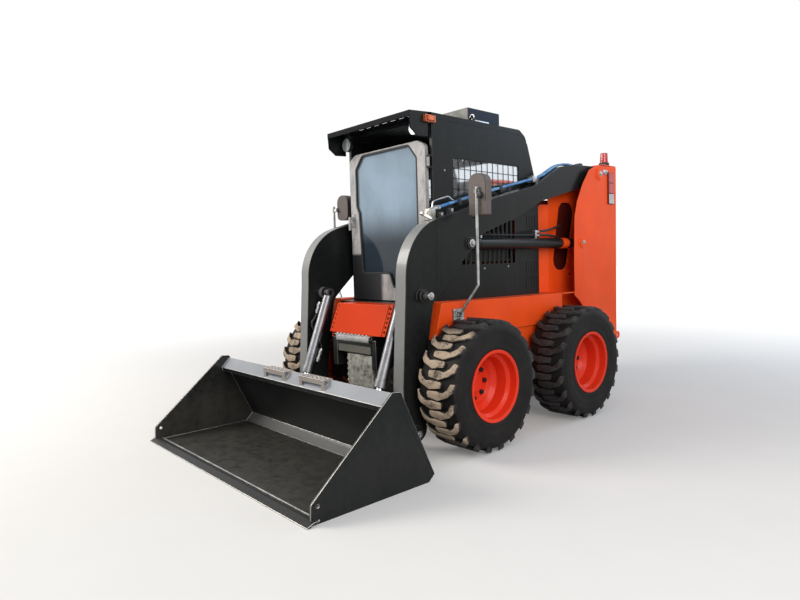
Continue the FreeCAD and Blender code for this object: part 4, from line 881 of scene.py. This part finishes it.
def add_mirror_glass():
    """Mirror glass in the rear of each mirror head."""
    work = bmesh.new()
    rear = 0.1121
    for inner, outer in ((0.667, 0.808), (-0.731, -0.591)):
        corners = []
        for x, z in ((inner, 1.526), (inner, 1.722), (outer, 1.722), (outer, 1.526)):
            near = Vector((math.copysign(0.012, (inner + outer) / 2 - x), 0, math.copysign(0.012, 1.624 - z)))
            corners.append(work.verts.new(spot(x, rear, z) + near))
        face = work.faces.new(corners)
        bmesh.ops.bevel(work, geom=list(face.verts), offset=0.035, segments=6, profile=0.5, affect="VERTICES", material=-1)
    bmesh.ops.recalc_face_normals(work, faces=work.faces)
    raised = bmesh.ops.extrude_face_region(work, geom=work.faces[:])
    top = [item for item in raised["geom"] if isinstance(item, bmesh.types.BMVert)]
    bmesh.ops.translate(work, vec=(0, 0.0015, 0), verts=top)
    bmesh.ops.recalc_face_normals(work, faces=work.faces)
    add_piece(work, "mirror_glasses", "chassis", [mirror_glass])


def add_mirror_feet():
    """Deeper foot of the left mirror's head, and the dark clamp on its rod."""
    work = bmesh.new()
    add_box(work, spot(0.6675, 0.0525, 1.462), spot(0.8075, 0.1115, 1.640), 0.009)
    add_piece(work, "mirror_foot", "chassis", [mirror_plastic])
    work = bmesh.new()
    add_disc(work, spot(0.768, 0.052, 1.585), (0, -1, 0), 0.020, 0.022, 20)
    add_disc(work, spot(0.700, 0.075, 1.466), (0.3, -0.4, -1), 0.016, 0.018, 16)
    add_piece(work, "mirror_clamp", "chassis", [black_plastic])


def add_rear_fittings():
    """Black gaskets round the tail lamps and a ring under the beacon."""
    work = bmesh.new()
    low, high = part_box("tail_lamps")
    for side in sides:
        face = side * 0.6152
        middle, half = (low[1] + high[1]) / 2, (high[1] - low[1]) * 0.3 + 0.004
        foot, head = (face, middle - half, low[2] - 0.004), (face + side * 0.008, middle + half, high[2] + 0.004)
        add_box(work, foot, head, 0.002)
    add_piece(work, "tail_lamp_gaskets", "chassis", [black_plastic])
    work = bmesh.new()
    low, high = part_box("beacon")
    foot = Vector(((low[0] + high[0]) / 2, (low[1] + high[1]) / 2, low[2]))
    add_disc(work, foot, (0, 0, 1), 0.0425, 0.024, 48)
    add_piece(work, "beacon_ring", "chassis", [black_plastic])


# Seat

def add_pad(name, low, high, lean, channels):
    """Padded part of the seat: swollen by cloth pressure, then sewn in channels."""
    margin = 0.012
    size = Vector(high) - Vector(low) - Vector((margin, margin, margin)) * 2
    middle = (Vector(high) + Vector(low)) / 2
    work = bmesh.new()
    bmesh.ops.create_cube(work, size=1.0, matrix=Matrix.Diagonal((*size, 1)))
    bmesh.ops.bevel(work, geom=work.edges[:], offset=0.028, segments=4, profile=0.5, affect="EDGES", material=-1)
    mesh = bpy.data.meshes.new(name)
    work.to_mesh(mesh)
    work.free()
    pad = bpy.data.objects.new(name, mesh)
    bpy.context.scene.collection.objects.link(pad)
    remesh = pad.modifiers.new("even", "REMESH")
    remesh.mode = "VOXEL"
    remesh.voxel_size = 0.006
    cloth = pad.modifiers.new("swell", "CLOTH")
    cloth.settings.use_pressure = True
    cloth.settings.uniform_pressure_force = 4.0
    cloth.settings.effector_weights.gravity = 0.0
    for moment in range(1, 21):
        bpy.context.scene.frame_set(moment)
    swollen = bpy.data.meshes.new_from_object(pad.evaluated_get(bpy.context.evaluated_depsgraph_get()))
    pad.modifiers.clear()
    bpy.context.scene.frame_set(1)
    limit = size / 2 + Vector((margin, margin, margin)) * 0.95
    for vert in swollen.vertices:
        for axis in range(3):
            vert.co[axis] = max(-limit[axis], min(limit[axis], vert.co[axis]))
        groove = sum(math.exp(-((vert.co.x - across) / 0.007) ** 2) for across in channels)
        thin = 2 if size.z < size.y else 1
        vert.co[thin] *= 1 - 0.14 * groove
    swollen.transform(Matrix.Translation(middle) @ Matrix.Rotation(lean, 4, "X"))
    swollen.materials.append(seat_vinyl)
    swollen.shade_smooth()
    pad.data = swollen
    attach(pad, "chassis")
    return pad


def add_seat():
    """Seat cushion and backrest in place of the plain solids."""
    low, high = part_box("seat")
    cushion_top = low[2] + 0.090
    cushion = add_pad("seat_cushion", low, (high[0], low[1] + 0.378, cushion_top), 0.0, (-0.11, 0.11))
    lean = math.radians(-4.5)
    back_low = Vector((-0.223, low[1] + 0.338, cushion_top + 0.004))
    back_high = Vector((0.223, low[1] + 0.410, high[2] - 0.004))
    backrest = add_pad("seat_backrest", back_low, back_high, lean, (-0.11, 0.11))
    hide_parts("seat")
    return backrest


def set_floor():
    """Plain pale floor that keeps the machine's shadow and fades to white far away."""
    work = bmesh.new()
    bmesh.ops.create_circle(work, cap_ends=True, segments=64, radius=60)
    mesh = bpy.data.meshes.new("floor")
    work.to_mesh(mesh)
    work.free()
    floor = bpy.data.objects.new("floor", mesh)
    finish = Finish("floor", roughness=0.9, specular_ior_level=0.1)
    speckle = finish.noise(4.0, 6.0)
    finish.set("Base Color", finish.blend(speckle, (0.57, 0.567, 0.56), (0.60, 0.597, 0.59)))
    reach = finish.node("ShaderNodeVectorMath", {"operation": "LENGTH"}, {0: finish.place()}, "Value")
    seen = finish.node("ShaderNodeLightPath", {}, {}, "Is Camera Ray")
    glow = seen * finish.fade(reach, 2.0, 10.0, 0.12, 0.8)
    finish.shader.inputs["Emission Strength"].default_value = 1.0
    grey_glow = finish.node("ShaderNodeCombineXYZ", {}, {0: glow, 1: glow, 2: glow})
    finish.set("Emission Color", grey_glow)
    mesh.materials.append(finish.material)
    bpy.context.scene.collection.objects.link(floor)


def set_lamp(name, place, aim, size, power, tint):
    data = bpy.data.lights.new(name, "AREA")
    data.shape = "RECTANGLE"
    data.size, data.size_y = size
    data.energy = power
    data.color = tint
    lamp = bpy.data.objects.new(name, data)
    way = Vector(aim) - Vector(place)
    lamp.matrix_world = Matrix.Translation(place) @ way.to_track_quat("-Z", "Y").to_matrix().to_4x4()
    bpy.context.scene.collection.objects.link(lamp)


def set_world():
    """Soft white surroundings: strength 1 where they are seen, less where they only light."""
    world = bpy.data.worlds.new("studio")
    world.use_nodes = True
    tree = world.node_tree
    path = tree.nodes.new("ShaderNodeLightPath")
    seen = tree.nodes.new("ShaderNodeMath")
    seen.operation = "ADD"
    seen.use_clamp = True
    tree.links.new(path.outputs["Is Camera Ray"], seen.inputs[0])
    tree.links.new(path.outputs["Is Transmission Ray"], seen.inputs[1])
    seen_all = tree.nodes.new("ShaderNodeMath")
    seen_all.operation = "ADD"
    seen_all.use_clamp = True
    tree.links.new(seen.outputs[0], seen_all.inputs[0])
    tree.links.new(path.outputs["Is Glossy Ray"], seen_all.inputs[1])
    strength = tree.nodes.new("ShaderNodeMapRange")
    strength.inputs["To Min"].default_value = 0.55
    strength.inputs["To Max"].default_value = 1.0
    tree.links.new(seen_all.outputs[0], strength.inputs["Value"])
    tree.links.new(strength.outputs[0], tree.nodes["Background"].inputs["Strength"])
    tree.nodes["Background"].inputs["Color"].default_value = (1.0, 1.0, 1.0, 1.0)
    bpy.context.scene.world = world


set_camera()
for node, settings in rigid.items():
    rounded(node, *settings)
dress_wheels()
cover(nodes["door_glass"], door_pane)
cover(nodes["side_glass"], side_pane)
add_arm_lines()
add_cylinder_lines()
add_front_details()
add_roof_details()
add_mirror_feet()
add_fasteners()
add_weld_bead()
add_door_seal()
add_mirror_glass()
add_rear_fittings()
add_seat()

set_floor()
set_world()
set_lamp("key", (-3.6, -4.6, 4.6), (0, 0, 0.8), (3.2, 3.2), 360, (1.0, 0.95, 0.88))
set_lamp("fill", (6.0, -2.5, 3.6), (0, 0, 0.9), (4.0, 4.0), 230, (1.0, 0.97, 0.94))
set_lamp("back", (2.5, 6.0, 4.8), (0, 0, 1.2), (4.0, 3.0), 90, (0.45, 0.68, 1.0))
bpy.context.scene.view_settings.view_transform = "Standard"
